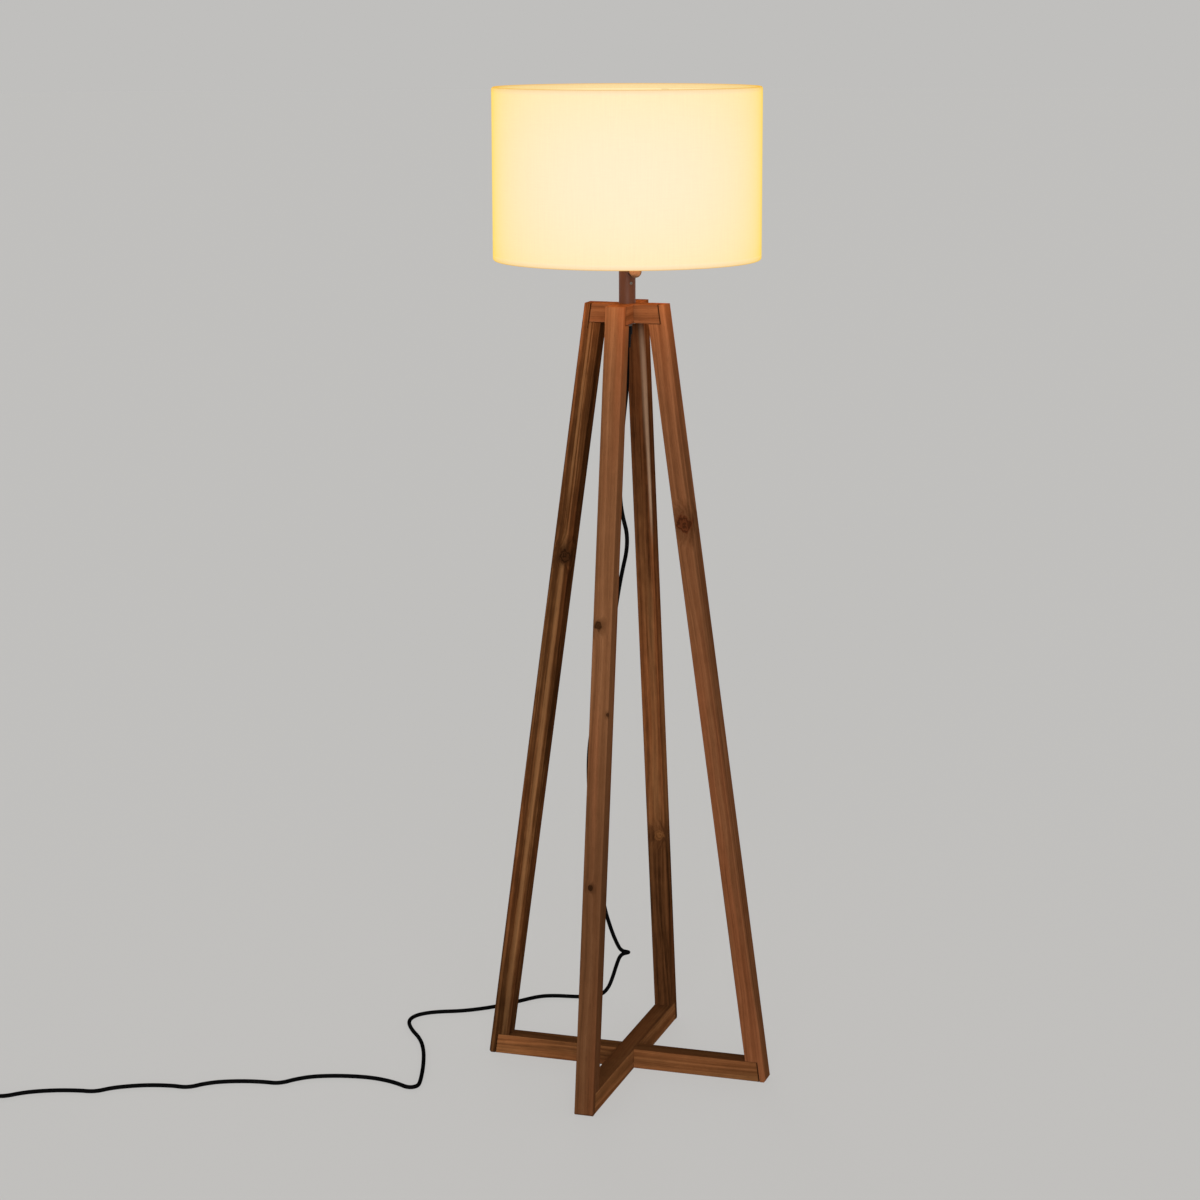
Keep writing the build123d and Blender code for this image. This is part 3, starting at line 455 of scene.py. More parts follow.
class LAMP_OT_wooden_frame(bpy.types.Operator):
    """Oiled wood on the legs and bars, each piece with its own grain and knots"""
    bl_idname = "lamp.wooden_frame"
    bl_label = "Wooden frame"

    def execute(self, context):
        colours = context.scene.lamp_colours
        dark = colours.wood_dark
        mid = colours.wood_mid
        light = colours.wood_light
        plain = (dark, mid, light)
        gold = (0.30, 0.140, 0.055)
        russet = (0.115, 0.038, 0.015)
        umber = (0.050, 0.019, 0.007)
        garnet = (0.110, 0.030, 0.0105)
        amber = (0.31, 0.122, 0.040)
        shown = {
            "leg_right": dict(heart=(0.085, 0.012), seed=3.1, warmth=0.4, figure=0.5,
                              top=(0.95, 1.15, 1.12), tones=plain,
                              knots=[((0.0935, -0.0145, 0.873), 0.0112, 0.016, garnet, 0.75)],
                              streaks=[(dark, 0.6, 0.0022, (0.1, 0.011), (1.0, 0.0085)),
                                       (russet, 0.5, 0.0012, (0.1, 0.006), (0.7, 0.004))]),
            "leg_left": dict(heart=(-0.08, 0.012), seed=7.7, warmth=0.0, figure=1.3,
                             foot=(0.05, 0.18, 0.55), top=(0.95, 1.15, 1.1),
                             tones=(toned(dark, 0.75), (0.098, 0.037, 0.0120),
                                    (0.23, 0.098, 0.036)),
                             knots=[((-0.0948, -0.0145, 0.815), 0.0086, 0.014, umber, 1.0)],
                             streaks=[(gold, 0.8, 0.0034, (0.02, 0.0035), (0.8, 0.0)),
                                      (dark, 0.6, 0.0022, (0.05, -0.0065), (1.15, -0.009)),
                                      (gold, 0.7, 0.0018, (0.9, -0.003), (1.15, -0.004)),
                                      (dark, 0.7, 0.0012, (0.6, 0.007), (1.15, 0.003))]),
            "leg_front": dict(heart=(-0.09, 0.03), seed=12.4, warmth=0.08, figure=0.42,
                              foot=(0.3, 0.56, 0.66), top=(0.5, 0.82, 1.02),
                              tones=(toned(dark, 1.2), toned(mid, 1.12), toned(light, 1.1)),
                              knots=[((-0.0068, -0.127, 0.733), 0.0056, 0.010, umber, 0.7),
                                     ((-0.003, -0.181, 0.344), 0.0034, 0.009, umber, 0.7),
                                     ((0.014, -0.145, 0.603), 0.0026, 0.006, umber, 0.7)]),
            "leg_back": dict(heart=(0.05, -0.05), seed=19.2, warmth=0.0, figure=1.1,
                             foot=(0.28, 0.35, 0.5), top=(0.7, 0.97, 0.6),
                             tones=(toned(dark, 0.8), (0.186, 0.070, 0.0245),
                                    (0.32, 0.128, 0.046)),
                             knots=[((0.0066, 0.1528, 0.333), 0.0074, 0.010, amber, 0.5)],
                             streaks=[(colours.sapwood, 1.0, 0.0036, (0.85, 0.0128),
                                       (1.12, 0.0084)),
                                      (colours.sapwood, 0.5, 0.0035, (1.0, 0.0075),
                                       (1.16, 0.006)),
                                      (gold, 0.4, 0.005, (0.36, 0.0), (0.72, 0.004))]),
        }
        for name, facts in shown.items():
            matrix, turn, middle = leg_facts(name)
            dress(wood(name + "_wood", turn, matrix, middle, **facts), name)
        low_bar = (toned(dark, 0.95), (0.197, 0.080, 0.0285), (0.34, 0.150, 0.058))
        high_bar = (toned(dark, 1.05), toned(mid, 0.92), toned(light, 0.92))
        bright_bar = [toned(tone, 1.2) for tone in low_bar]
        bars = {
            "bottom_bar_side": ("x", BOTTOM_BAR_MIDDLE, dict(
                heart=(0.07, 0.02), seed=23.5, tones=low_bar, warmth=-0.15, figure=0.62,
                foot=(-0.2, 0.0, 1.35), top=(0.0, 0.2, 0.87))),
            "bottom_bar_fore_aft": ("y", BOTTOM_BAR_MIDDLE, dict(
                heart=(-0.03, 0.07), seed=29.9, tones=bright_bar, warmth=-0.15, figure=0.62)),
            "top_bar_side": ("x", TOP_BAR_MIDDLE, dict(
                heart=(0.06, -0.04), seed=33.3, tones=high_bar, warmth=0.2, figure=0.6)),
            "top_bar_fore_aft": ("y", TOP_BAR_MIDDLE, dict(
                heart=(0.05, 0.06), seed=41.8, tones=high_bar, warmth=0.2, figure=0.6)),
        }
        for name, (along, height, facts) in bars.items():
            matrix, turn = grain_rotation(along, None)
            low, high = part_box(name)
            reach = high.x if along == "x" else high.y
            dress(wood(name + "_wood", turn, matrix, (0.0, 0.0, height),
                       joint=(reach, math.tan(LEG_LEAN), low.z), **facts), name)
        matrix, turn = grain_rotation("x", None)
        dress(wood("screw_plug_wood", turn, matrix, (0.0, 0.0, 0.0), (0.05, 0.05), 47.1, plain),
              "screw_plugs")
        return {"FINISHED"}


# ---- metals, plastics and paint
def metal(name, colour, roughness, brushed):
    """Worked metal with fine tool marks; brushed stretches them along the axes."""
    board = NodeBoard(name)
    marks = board.noise(board.stretched(board.place(), brushed), detail=3.0, roughness=0.6)
    worn = board.noise(board.place(), scale=160.0, detail=3.0)
    shade = board.blended(board.ranged(worn, 0.35, 0.75), opaque(colour), opaque(colour, 0.72))
    rough = board.math("MULTIPLY_ADD", marks, 0.2, roughness - 0.1)
    return board.finish(Base_Color=shade, Metallic=1.0, Roughness=rough,
                        Normal=board.bump(marks, 0.00003))


def moulded(name, colour, roughness, texture=1800.0, depth=0.00004, **sockets):
    """Moulded plastic with a fine tool texture and faint handling marks."""
    board = NodeBoard(name)
    skin = board.noise(board.place(), scale=texture, detail=2.0)
    touched = board.noise(board.place(), scale=46.0, detail=3.0)
    tint = board.blended(board.ranged(touched, 0.35, 0.7), opaque(colour), opaque(colour, 0.86))
    rough = board.math("MULTIPLY_ADD", touched, 0.16, roughness - 0.08)
    return board.finish(Base_Color=tint, Roughness=rough, Normal=board.bump(skin, depth), **sockets)


class LAMP_OT_joinery(bpy.types.Operator):
    """Steel on the screws, washer, nut and threaded tube"""
    bl_idname = "lamp.joinery"
    bl_label = "Screws and clamp"

    def execute(self, context):
        zinc = metal("zinc_plated_steel", (0.55, 0.55, 0.53), 0.34, (900.0, 900.0, 240.0))
        dress(zinc, "lap_screws", "crossing_screw", "threaded_tube", "clamp_washer", "clamp_nut",
              "holder_stem")
        grip = moulded("grip_rubber", (0.008, 0.008, 0.0085), 0.6, 1400.0, 0.00006,
                       Specular_IOR_Level=0.08)
        dress(grip, "cord_grip")
        return {"FINISHED"}


class LAMP_OT_post(bpy.types.Operator):
    """Satin paint on the post, and the bright screw that holds it"""
    bl_idname = "lamp.post"
    bl_label = "Post"

    def execute(self, context):
        colour = context.scene.lamp_colours.post
        board = NodeBoard("post_paint")
        peel = board.noise(board.place(), scale=900.0, detail=2.0)
        flow = board.noise(board.stretched(board.place(), (90.0, 90.0, 18.0)), detail=3.0)
        flake = board.noise(board.place(), scale=4200.0, detail=1.0)
        tint = board.blended(board.ranged(flow, 0.3, 0.75), opaque(colour), opaque(colour, 0.8))
        tint = board.blended(board.ranged(flake, 0.62, 0.74), tint, opaque(colour, 1.5))
        rough = board.math("MULTIPLY_ADD", flow, 0.14, 0.38)
        paint = board.finish(Base_Color=tint, Roughness=rough, Specular_IOR_Level=0.22,
                             Normal=board.bump(peel, 0.00005))
        dress(paint, "post_tube", "switch_saddle")
        bright = metal("bright_steel", (0.72, 0.71, 0.69), 0.26, (1600.0, 1600.0, 300.0))
        dress(bright, "switch_nut", "post_spigot", "switch_spindle")
        dress(metal("blacked_steel", (0.30, 0.27, 0.25), 0.42, (1600.0, 1600.0, 300.0)),
              "grub_screw")
        dress(moulded("plug_nylon", (0.02, 0.02, 0.021), 0.42), "post_top_plug")
        return {"FINISHED"}


class LAMP_OT_switch(bpy.types.Operator):
    """The turned wooden knob and the switch behind it"""
    bl_idname = "lamp.switch"
    bl_label = "Switch and knob"

    def execute(self, context):
        tan = context.scene.lamp_colours.turned_wood
        tones = (toned(tan, 0.62), tan, toned(tan, 1.3))
        turn = (0.0, -math.pi / 2, KNOB_TURN)
        matrix = Matrix.Rotation(KNOB_TURN, 3, "Z") @ Matrix.Rotation(-math.pi / 2, 3, "Y")
        knob = wood("knob_wood", turn, matrix, (0.0, 0.0, KNOB_HEIGHT), (0.02, 0.03), 53.0, tones)
        dress(knob, "switch_knob")
        dress(moulded("switch_housing", (0.03, 0.03, 0.032), 0.45), "switch_body")
        return {"FINISHED"}


class LAMP_OT_lampholder(bpy.types.Operator):
    """White lampholder, its ceramic core, contacts and coiled contact spring"""
    bl_idname = "lamp.lampholder"
    bl_label = "Lampholder"

    def execute(self, context):
        sizes = context.scene.lamp_sizes
        white = moulded("holder_plastic", (0.74, 0.72, 0.68), 0.36)
        dress(white, "holder_cap", "holder_shell", "lower_shade_ring", "upper_shade_ring")
        dress(moulded("glazed_ceramic", (0.78, 0.77, 0.73), 0.2, 260.0, 0.00002), "holder_core")
        brass = metal("contact_brass", (0.78, 0.57, 0.27), 0.3, (700.0, 700.0, 700.0))
        dress(brass, "holder_terminals", "contact_plunger", "screw_socket")
        low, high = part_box("contact_spring")
        wire = 0.00025
        inset = 0.0003
        steps = 24 * sizes.spring_turns
        radius = (high.x - low.x) / 2 - inset
        rise = (high.z - low.z - 2 * inset) / steps
        shape = bmesh.new()
        bmesh.ops.create_circle(shape, segments=10, radius=wire)
        bmesh.ops.rotate(shape, verts=shape.verts, matrix=Matrix.Rotation(math.pi / 2, 3, "X"))
        bmesh.ops.translate(shape, verts=shape.verts, vec=(radius, 0.0, low.z + inset))
        bmesh.ops.spin(shape, geom=shape.edges[:], cent=(0, 0, 0), axis=(0, 0, 1),
                       dvec=(0, 0, rise), angle=2 * math.pi * sizes.spring_turns, steps=steps)
        ends = [edge for edge in shape.edges if edge.is_boundary]
        bmesh.ops.holes_fill(shape, edges=ends, sides=0)
        bmesh.ops.recalc_face_normals(shape, faces=shape.faces)
        for face in shape.faces:
            face.smooth = len(face.verts) == 4
        spring = finished(shape, "contact_spring_wire")
        piece = stand(context.scene, "contact_spring_wire", spring)
        spring.materials.append(metal("spring_wire", (0.6, 0.6, 0.58), 0.3,
                                      (1500.0, 1500.0, 1500.0)))
        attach(piece, "frame")
        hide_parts("contact_spring")
        return {"FINISHED"}


class LAMP_OT_bulb(bpy.types.Operator):
    """The bulb: screwed cap, white body, lit chips and opal dome"""
    bl_idname = "lamp.bulb"
    bl_label = "Bulb"

    def execute(self, context):
        nickel = metal("cap_nickel", (0.7, 0.69, 0.66), 0.26, (800.0, 800.0, 800.0))
        dress(nickel, "bulb_cap", "bulb_tip")
        dress(moulded("cap_insulator", (0.03, 0.03, 0.035), 0.3), "bulb_insulator")
        dress(moulded("bulb_body_plastic", (0.8, 0.79, 0.76), 0.32), "bulb_body")
        dress(moulded("chip_board", (0.75, 0.75, 0.72), 0.5), "bulb_led_board")
        dress(moulded("chip_phosphor", (0.8, 0.6, 0.15), 0.5, Emission_Color=(1.0, 0.8, 0.4, 1.0),
                      Emission_Strength=1.0), "bulb_led_chips")
        board = NodeBoard("opal_dome")
        neck, belly = 1.369, 1.400
        haze = board.noise(board.place(), scale=80.0, detail=2.0)
        glow = board.ramp(board.ranged(board.axes(board.place())["Z"], neck, belly),
                          [(0.0, (1.0, 0.74, 0.42, 1.0)), (0.6, (1.0, 0.86, 0.62, 1.0)),
                           (1.0, (1.0, 0.9, 0.7, 1.0))])
        opal = board.finish(Base_Color=(0.8, 0.77, 0.7, 1.0), Emission_Color=glow,
                            Emission_Strength=0.9,
                            Roughness=board.math("MULTIPLY_ADD", haze, 0.1, 0.2))
        dress(opal, "bulb_dome")
        return {"FINISHED"}


# ---- shade
def rim_points(radius, height, wrap, start, end, count=9):
    """Points (radius, z) around a rim's wire, from one angle to another, in degrees."""
    for index in range(count + 1):
        angle = math.radians(start + (end - start) * index / count)
        yield radius + wrap * math.cos(angle), height + wrap * math.sin(angle)


def hem_edge(radius, height):
    """The groove around the cover where the taped band ends."""
    for step, depth in ((-0.0006, 0.0), (0.0, 0.00028), (0.0006, 0.0)):
        yield radius - depth, height + step


def shade_fabric_finish(name, colours, sizes, inside):
    """Woven, lined fabric with the lamp's light coming through it."""
    board = NodeBoard(name)
    place = board.place()
    axes = board.axes(place)
    low = sizes.shade_low
    high = sizes.shade_high
    half = (high - low) / 2
    band = sizes.hem_band
    angle = board.math("ARCTAN2", axes["Y"], axes["X"])
    threads = sizes.warp_threads
    warp = board.math("SINE", board.product(angle, float(threads)))
    weft = board.math("SINE", board.product(axes["Z"], threads / sizes.shade_radius))
    weave = board.product(warp, weft)
    slub = board.noise(board.stretched(place, (40.0, 40.0, 1500.0)), detail=2.0)
    slub = board.math("ADD", slub, board.noise(board.stretched(place, (700.0, 700.0, 22.0)),
                                               detail=2.0))
    cloud = board.noise(board.stretched(place, (14.0, 14.0, 10.0)), detail=2.0)
    height = board.math("SUBTRACT", axes["Z"], low + half)
    fade = board.product(height, height, 52.0)
    fade = board.math("MULTIPLY_ADD", board.math("SUBTRACT", cloud, 0.5), 0.08, fade)
    glow = colours.glow
    if inside:
        glow = (glow[0], glow[1] * 0.98, glow[2] * 0.70)

    def tinted(red, green, blue):
        return glow[0] * red, glow[1] * green, glow[2] * blue, 1.0

    warm = board.ramp(fade, [(0.0, tinted(1.0, 1.0, 1.0)), (1.0, tinted(1.0, 0.98, 0.82))])
    threads_share = board.math("MULTIPLY_ADD", board.math("SUBTRACT", slub, 1.0), 0.05, 1.0)
    # two layers of fabric in the bands and the seam
    edge_low = board.ranged(axes["Z"], low + band, low + band - 0.002, smooth=True)
    edge_high = board.ranged(axes["Z"], high - band, high - band + 0.002, smooth=True)
    doubled = board.math("MAXIMUM", edge_low, edge_high)
    seam = board.math("ABSOLUTE", board.math("SUBTRACT", angle, SEAM_PLACE))
    seam = board.ranged(seam, SEAM_HALF, SEAM_HALF + 0.002, 0.3, 0.0)
    warm = board.blended(seam, warm, tinted(0.62, 0.48, 0.32))
    warm = board.blended(doubled, warm, tinted(1.0, 0.975, 0.92))
    # the lip that is turned in, and the roll over the rim's wire
    turned = board.length(board.stretched(place, (1.0, 1.0, 0.0)))
    turned = board.ranged(turned, sizes.shade_radius - 0.0022, sizes.shade_radius - 0.0013,
                          1.0, 0.0)
    warm = board.blended(board.product(turned, doubled), warm, tinted(0.91, 0.85, 0.60))
    off_middle = board.math("ABSOLUTE", height)
    towards_edge = board.ranged(off_middle, half - band, half - 0.0005, 0.0, 0.4, smooth=True)
    rolled = board.ranged(off_middle, half - 0.0018, half - 0.0004, 0.0, 0.6, smooth=True)
    warm = board.blended(board.math("ADD", towards_edge, rolled), warm, tinted(0.84, 0.62, 0.40))
    warm = board.scaled(warm, threads_share)
    base = board.blended(board.ranged(slub, 0.7, 1.3), opaque(colours.shade, 0.94),
                         opaque(colours.shade, 1.05))
    skin = board.bump(weave, 0.00012)
    skin = board.bump(slub, 0.0002, skin)
    return board.finish(Base_Color=base, Emission_Color=warm, Emission_Strength=1.0,
                        Roughness=0.8, Specular_IOR_Level=0.2, Normal=skin,
                        Coat_Weight=0.0 if inside else 1.0, Coat_IOR=1.01,
                        Coat_Roughness=0.9, Coat_Tint=(1.0, 0.972, 0.78, 1.0))


class LAMP_OT_shade(bpy.types.Operator):
    """The fabric cover with rolled hems and a lap seam, and its white wires"""
    bl_idname = "lamp.shade"
    bl_label = "Shade"

    def execute(self, context):
        sizes = context.scene.lamp_sizes
        colours = context.scene.lamp_colours
        middle = sizes.shade_radius - sizes.fabric / 2
        wrap = sizes.rim_wire / 2 + sizes.fabric / 2
        wire_radius = sizes.shade_radius - sizes.fabric - sizes.rim_wire / 2
        low = sizes.shade_low + sizes.rim_wire / 2 + sizes.fabric
        high = sizes.shade_high - sizes.rim_wire / 2 - sizes.fabric
        turned_in = 0.005
        outline = [(wire_radius - wrap, low + turned_in)]
        outline += rim_points(wire_radius, low, wrap, 180, 360)
        outline.append((middle, low + 0.002))
        outline += hem_edge(middle, sizes.shade_low + sizes.hem_band)
        for share in range(1, 12):
            outline.append((middle, low + (high - low) * (0.03 + 0.94 * share / 12)))
        outline += hem_edge(middle, sizes.shade_high - sizes.hem_band)
        outline.append((middle, high - 0.002))
        outline += rim_points(wire_radius, high, wrap, 0, 180)
        outline.append((wire_radius - wrap, high - turned_in))
        shape = bmesh.new()
        corners = [shape.verts.new((radius, 0.0, height)) for radius, height in outline]
        for first, second in zip(corners, corners[1:]):
            shape.edges.new((first, second))
        bmesh.ops.spin(shape, geom=shape.verts[:] + shape.edges[:], cent=(0, 0, 0),
                       axis=(0, 0, 1), angle=2 * math.pi, steps=180, use_merge=True)
        bmesh.ops.recalc_face_normals(shape, faces=shape.faces)
        for face in shape.faces:
            face.smooth = True
        mesh = finished(shape, "shade_cover")
        cover = stand(context.scene, "shade_cover", mesh)
        thick = cover.modifiers.new("Fabric", "SOLIDIFY")
        thick.thickness = sizes.fabric
        thick.offset = 0.0
        thick.material_offset = 1
        for name, inside in (("shade_outside", False), ("shade_inside", True)):
            mesh.materials.append(shade_fabric_finish(name, colours, sizes, inside))
        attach(cover, "shade")
        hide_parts("shade_fabric")
        white = moulded("white_powder_coat", (0.72, 0.70, 0.65), 0.45, 2600.0, 0.00005)
        dress(white, "shade_top_wire", "shade_bottom_wire", "shade_hub", "shade_arms")
        return {"FINISHED"}


# ---- cord and plug
def metres(points):
    return [tuple(component * MM for component in point) for point in points]


def coil_points():
    """The coil's turns, side by side and then up onto themselves, as (x, y, z).

    The smooth line cuts the corners between its points, so they lie a little outside it.
    """
    steps = int(360 / COIL_STEP)
    outside = 1 / math.cos(math.radians(COIL_STEP / 2))
    moving_in = {17: 1.2, 18: 2.8, 19: 4.4, 20: 5.4, 21: 6.0, 22: 6.3}
    for index in range(1, steps * COIL_TURNS):
        inward = moving_in.get(index, COIL_PITCH if index > 22 else 0.0)
        if index > 28:
            inward += COIL_PITCH
        radius = (OUTER_TURN - inward) * outside
        angle = math.radians(COIL_START + COIL_STEP * index)
        lift = 1.6 if index > 30 else 0.0
        yield (COIL_MIDDLE[0] + radius * math.cos(angle),
               COIL_MIDDLE[1] + radius * math.sin(angle), TIE_Z + lift)


def tail_points():
    """Over the coil, down beside it and into the plug."""
    for angle, radius, height in ((90.0, 26.2, 8.2), (108.0, 29.0, 10.6),
                                  (127.0, 32.5, OVER_COIL), (148.0, 34.5, OVER_COIL)):
        turn = math.radians(angle)
        yield (COIL_MIDDLE[0] + radius * math.cos(turn),
               COIL_MIDDLE[1] + radius * math.sin(turn), height)
    for along, height in ((-3, OVER_COIL), (-20, 10.7), (-36, 9.475), (-50, 7.41),
                          (-64, PLUG_Z), (-76, PLUG_Z), (-88, PLUG_Z), (-100, PLUG_Z)):
        yield PLUG_X, COIL_MIDDLE[1] + along, height


class LAMP_OT_supply_cord(bpy.types.Operator):
    """The black mains cord as one smooth line, with its coil and tail"""
    bl_idname = "lamp.supply_cord"
    bl_label = "Mains cord"

    def execute(self, context):
        sizes = context.scene.lamp_sizes
        height = CORD_EXIT[2] / MM
        resting = sizes.cord_diameter / 2 / MM
        route = [(x, y, share * height) for x, y, share in HANGING_ROUTE]
        route += [(x, y, resting) for x, y in FLOOR_ROUTE]
        route += [(*COIL_ENTRY, TIE_Z), *coil_points(), *tail_points()]
        line = bpy.data.curves.new("supply_cord_line", "CURVE")
        line.dimensions = "3D"
        spline = line.splines.new("NURBS")
        spline.points.add(len(route) - 1)
        for point, place in zip(spline.points, metres(route)):
            point.co = (*place, 1.0)
        spline.order_u = 3
        spline.use_endpoint_u = True
        spline.resolution_u = 10
        line.bevel_depth = sizes.cord_diameter / 2
        line.bevel_resolution = 5
        line.use_fill_caps = True
        cord = stand(context.scene, "supply_cord_line", line)
        sheath = context.scene.lamp_colours.cord
        board = NodeBoard("cord_sheath")
        skin = board.noise(board.place(), scale=1500.0, detail=2.0)
        dust = board.noise(board.place(), scale=38.0, detail=4.0, roughness=0.65)
        dust = board.ranged(dust, 0.5, 0.78, smooth=True)
        tint = board.blended(board.product(dust, 0.3), opaque(sheath),
                             (0.02, 0.019, 0.018, 1.0))
        rough = board.math("MULTIPLY_ADD", dust, 0.2, 0.46)
        black = board.finish(Base_Color=tint, Roughness=rough, Specular_IOR_Level=0.0,
                             Normal=board.bump(skin, 0.00004))
        line.materials.append(black)
        dress(black, "cord_inner_end", "cord_plug_end")
        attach(cord, "frame")
        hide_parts("supply_cord", "cord_coil", "cord_tail", "cord_plug_end")
        return {"FINISHED"}


class LAMP_OT_plug(bpy.types.Operator):
    """Moulded black plug with its brass pins, and the strap around the coil"""
    bl_idname = "lamp.plug"
    bl_label = "Plug and tie"

    def execute(self, context):
        dress(moulded("plug_moulding", (0.012, 0.012, 0.013), 0.55, 1500.0, 0.00007,
                      Specular_IOR_Level=0.15), "plug_relief", "plug_body", "plug_pin_sleeves")
        dress(metal("pin_brass", (0.8, 0.62, 0.34), 0.28, (1200.0, 120.0, 1200.0)), "plug_pins")
        board = NodeBoard("tie_strap")
        loops = board.noise(board.place(), scale=1900.0, detail=3.0)
        tint = board.blended(loops, (0.012, 0.012, 0.012, 1.0), (0.06, 0.06, 0.06, 1.0))
        strap = board.finish(Base_Color=tint, Roughness=0.85, Normal=board.bump(loops, 0.0003))
        dress(strap, "coil_tie")
        return {"FINISHED"}


class LAMP_OT_wiring(bpy.types.Operator):
    """Brown and blue insulation on the wires inside the post"""
    bl_idname = "lamp.wiring"
    bl_label = "Wires"

    def execute(self, context):
        dress(moulded("brown_insulation", (0.11, 0.045, 0.02), 0.4, 900.0), "feed_wire",
              "switched_wire")
        dress(moulded("blue_insulation", (0.02, 0.09, 0.32), 0.4, 900.0), "neutral_wire")
        return {"FINISHED"}


# ---- stage
class StageBoard(NodeBoard):
    """Nodes for the world or the floor, whose look isn't the light they give the lamp."""

    def __init__(self, owner, output):
        owner.use_nodes = True
        self.tree = owner.node_tree
        self.tree.nodes.clear()
        self.output = self.add(output, {})

    def show(self, lighting, seen):
        """The camera sees the second shader straight, in a reflection and through glass."""
        path = self.add("LightPath", {}).outputs
        by_eye = self.math("MAXIMUM", path["Is Camera Ray"], path["Is Glossy Ray"])
        by_eye = self.math("MAXIMUM", by_eye, path["Is Transmission Ray"])
        mix = self.add("MixShader", {0: by_eye, 1: lighting.outputs[0], 2: seen.outputs[0]})
        self.feed(self.output.inputs["Surface"], mix.outputs[0])


def backdrop_world(scene, light):
    """Even light from all sides, in front of a plain pale background."""
    world = bpy.data.worlds.new("studio")
    board = StageBoard(world, "OutputWorld")
    upwards = board.axes(board.add("TexCoord", {}).outputs["Generated"])["Z"]
    strength = board.ranged(upwards, 0.0, 1.0, light.surround, light.overhead)
    lit = board.add("Background", {"Color": (1.0, 0.985, 0.96, 1.0), "Strength": strength})
    seen = board.add("Background", {"Color": opaque(scene.lamp_colours.backdrop)})
    board.show(lit, seen)
    scene.world = world


def floor_finish(colour, lit_level, share):
    """A pale floor that looks as the backdrop does and keeps part of a shadow."""
    material = bpy.data.materials.new("studio_floor")
    board = StageBoard(material, "OutputMaterial")
    paint = board.add("BsdfDiffuse", {"Color": opaque(colour)})
    shadowed = board.add("BsdfDiffuse", {"Color": opaque(colour, share / lit_level)})
    glow = board.add("Emission", {"Color": opaque(colour), "Strength": 1.0 - share})
    board.show(paint, board.add("AddShader", {0: shadowed.outputs[0], 1: glow.outputs[0]}))
    return material


def soft_sun(scene, name, azimuth, elevation, strength):
    """A broad, even light that comes from an azimuth (0 is -Y, 90 is +X) and an elevation."""
    sun = bpy.data.lights.new(name, "SUN")
    sun.energy = strength
    sun.angle = math.radians(LIGHT_SPREAD)
    lamp = stand(scene, name, sun)
    lamp.rotation_euler = (math.radians(90 - elevation), 0.0, math.radians(azimuth))


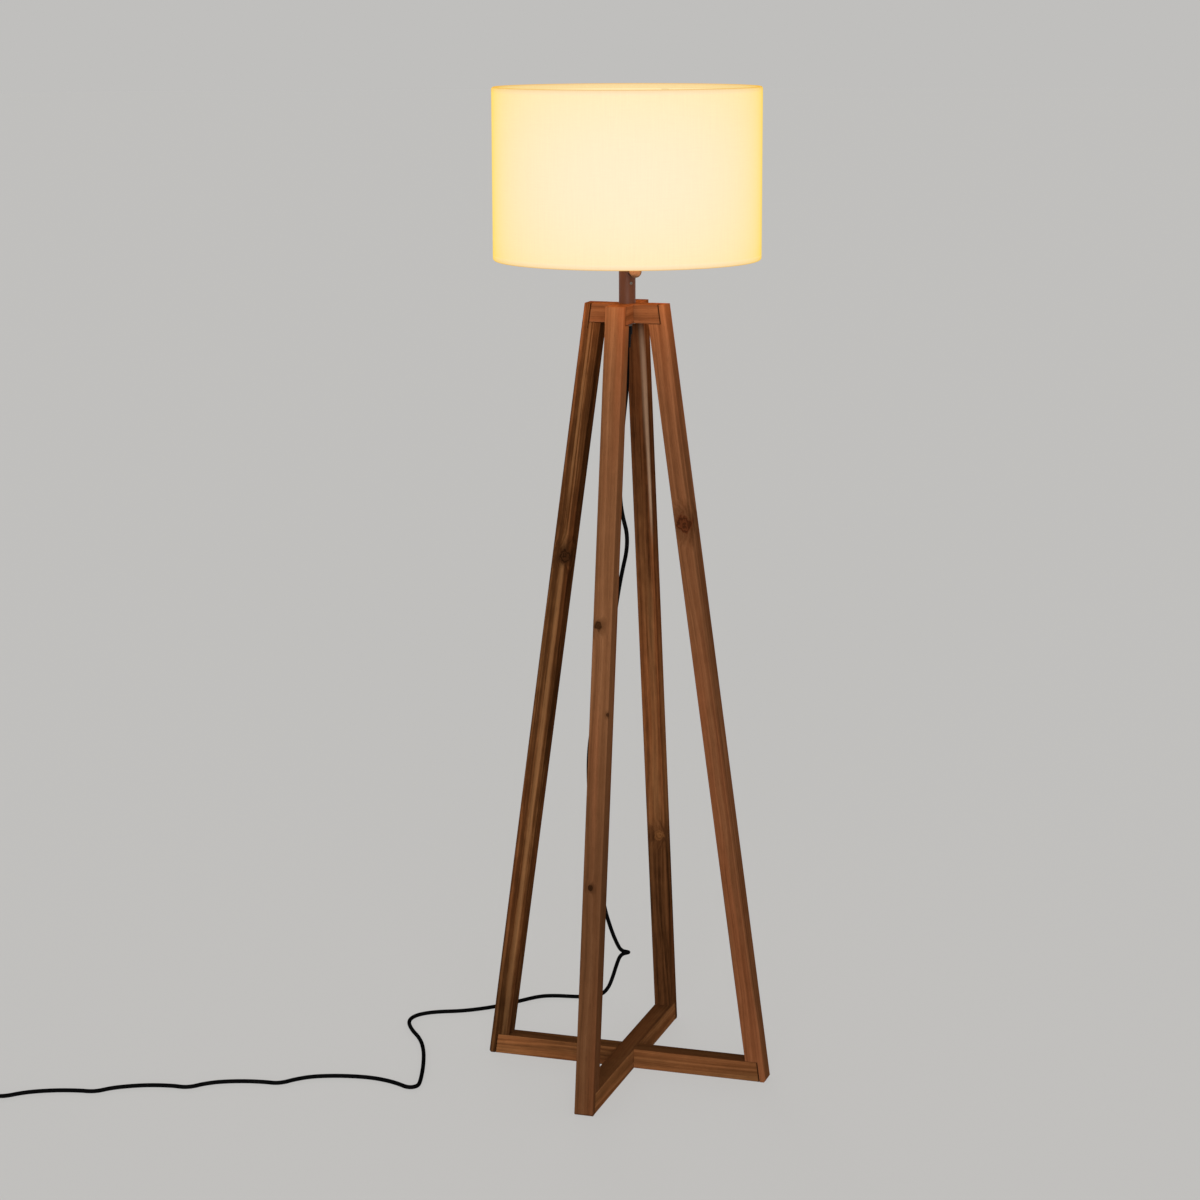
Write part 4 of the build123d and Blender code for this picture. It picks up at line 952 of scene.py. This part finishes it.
class LAMP_OT_stage(bpy.types.Operator):
    """Camera, pale floor and plain soft studio light"""
    bl_idname = "lamp.stage"
    bl_label = "Stage"

    def execute(self, context):
        scene = context.scene
        light = scene.lamp_light
        camera = bpy.data.cameras.new("camera")
        camera.lens = LENS
        camera.sensor_width = 36.0
        eye = stand(scene, "camera", camera)
        eye.matrix_world = (Matrix.Translation(CAMERA_PLACE)
                            @ Matrix.Rotation(math.radians(CAMERA_HEADING), 4, "Z")
                            @ Matrix.Rotation(math.radians(90 - CAMERA_TILT), 4, "X")
                            @ Matrix.Rotation(math.radians(CAMERA_ROLL), 4, "Z"))
        scene.camera = eye
        backdrop_world(scene, light)
        shape = bmesh.new()
        bmesh.ops.create_circle(shape, cap_ends=True, segments=96, radius=60.0)
        bmesh.ops.translate(shape, verts=shape.verts, vec=(0.0, 0.0, -0.0004))
        mesh = finished(shape, "studio_floor")
        floor = stand(scene, "studio_floor", mesh)
        level = light.surround / 3 + light.overhead * 2 / 3
        for strength, elevation in ((light.key, KEY_ELEVATION), (light.back, BACK_ELEVATION)):
            level += strength / math.pi * math.sin(math.radians(elevation))
        mesh.materials.append(floor_finish(scene.lamp_colours.backdrop, level,
                                           light.shadow_share))
        soft_sun(scene, "key", 18, KEY_ELEVATION, light.key)
        soft_sun(scene, "back_fill", -150, BACK_ELEVATION, light.back)
        mouth = bpy.data.lights.new("shade_mouth", "AREA")
        mouth.shape = "DISK"
        mouth.size = 0.34
        mouth.energy = light.mouth
        mouth.color = (1.0, 0.46, 0.18)
        lamp = stand(scene, "shade_mouth", mouth)
        lamp.location = (0.0, 0.0, 1.262)
        lamp.visible_camera = False
        lamp.visible_glossy = False
        scene.view_settings.view_transform = "Standard"
        return {"FINISHED"}


class LAMP_PT_sidebar(bpy.types.Panel):
    """Lists the lamp's pieces and the stage"""
    bl_idname = "LAMP_PT_sidebar"
    bl_label = "Floor lamp"
    bl_space_type = "VIEW_3D"
    bl_region_type = "UI"
    bl_category = "Floor lamp"

    def draw(self, context):
        for operator in OPERATORS:
            self.layout.operator(operator.bl_idname)
        for group in (context.scene.lamp_sizes, context.scene.lamp_colours,
                      context.scene.lamp_light):
            box = self.layout.box()
            for name in group.__annotations__:
                box.prop(group, name)


OPERATORS = (LAMP_OT_stage, LAMP_OT_supply_cord, LAMP_OT_plug, LAMP_OT_wooden_frame,
             LAMP_OT_joinery, LAMP_OT_post, LAMP_OT_switch, LAMP_OT_lampholder, LAMP_OT_bulb,
             LAMP_OT_shade, LAMP_OT_wiring)
GROUPS = {"lamp_sizes": LampSizes, "lamp_colours": LampColours, "lamp_light": LampLight}


def register():
    for name, group in GROUPS.items():
        bpy.utils.register_class(group)
        setattr(bpy.types.Scene, name, bpy.props.PointerProperty(type=group))
    for operator in OPERATORS:
        bpy.utils.register_class(operator)
    bpy.utils.register_class(LAMP_PT_sidebar)


def unregister():
    bpy.utils.unregister_class(LAMP_PT_sidebar)
    for operator in reversed(OPERATORS):
        bpy.utils.unregister_class(operator)
    for name, group in GROUPS.items():
        delattr(bpy.types.Scene, name)
        bpy.utils.unregister_class(group)


def main():
    register()
    for operator in OPERATORS:
        category, name = operator.bl_idname.split(".")
        getattr(getattr(bpy.ops, category), name)()


if __name__ == "__main__":
    main()
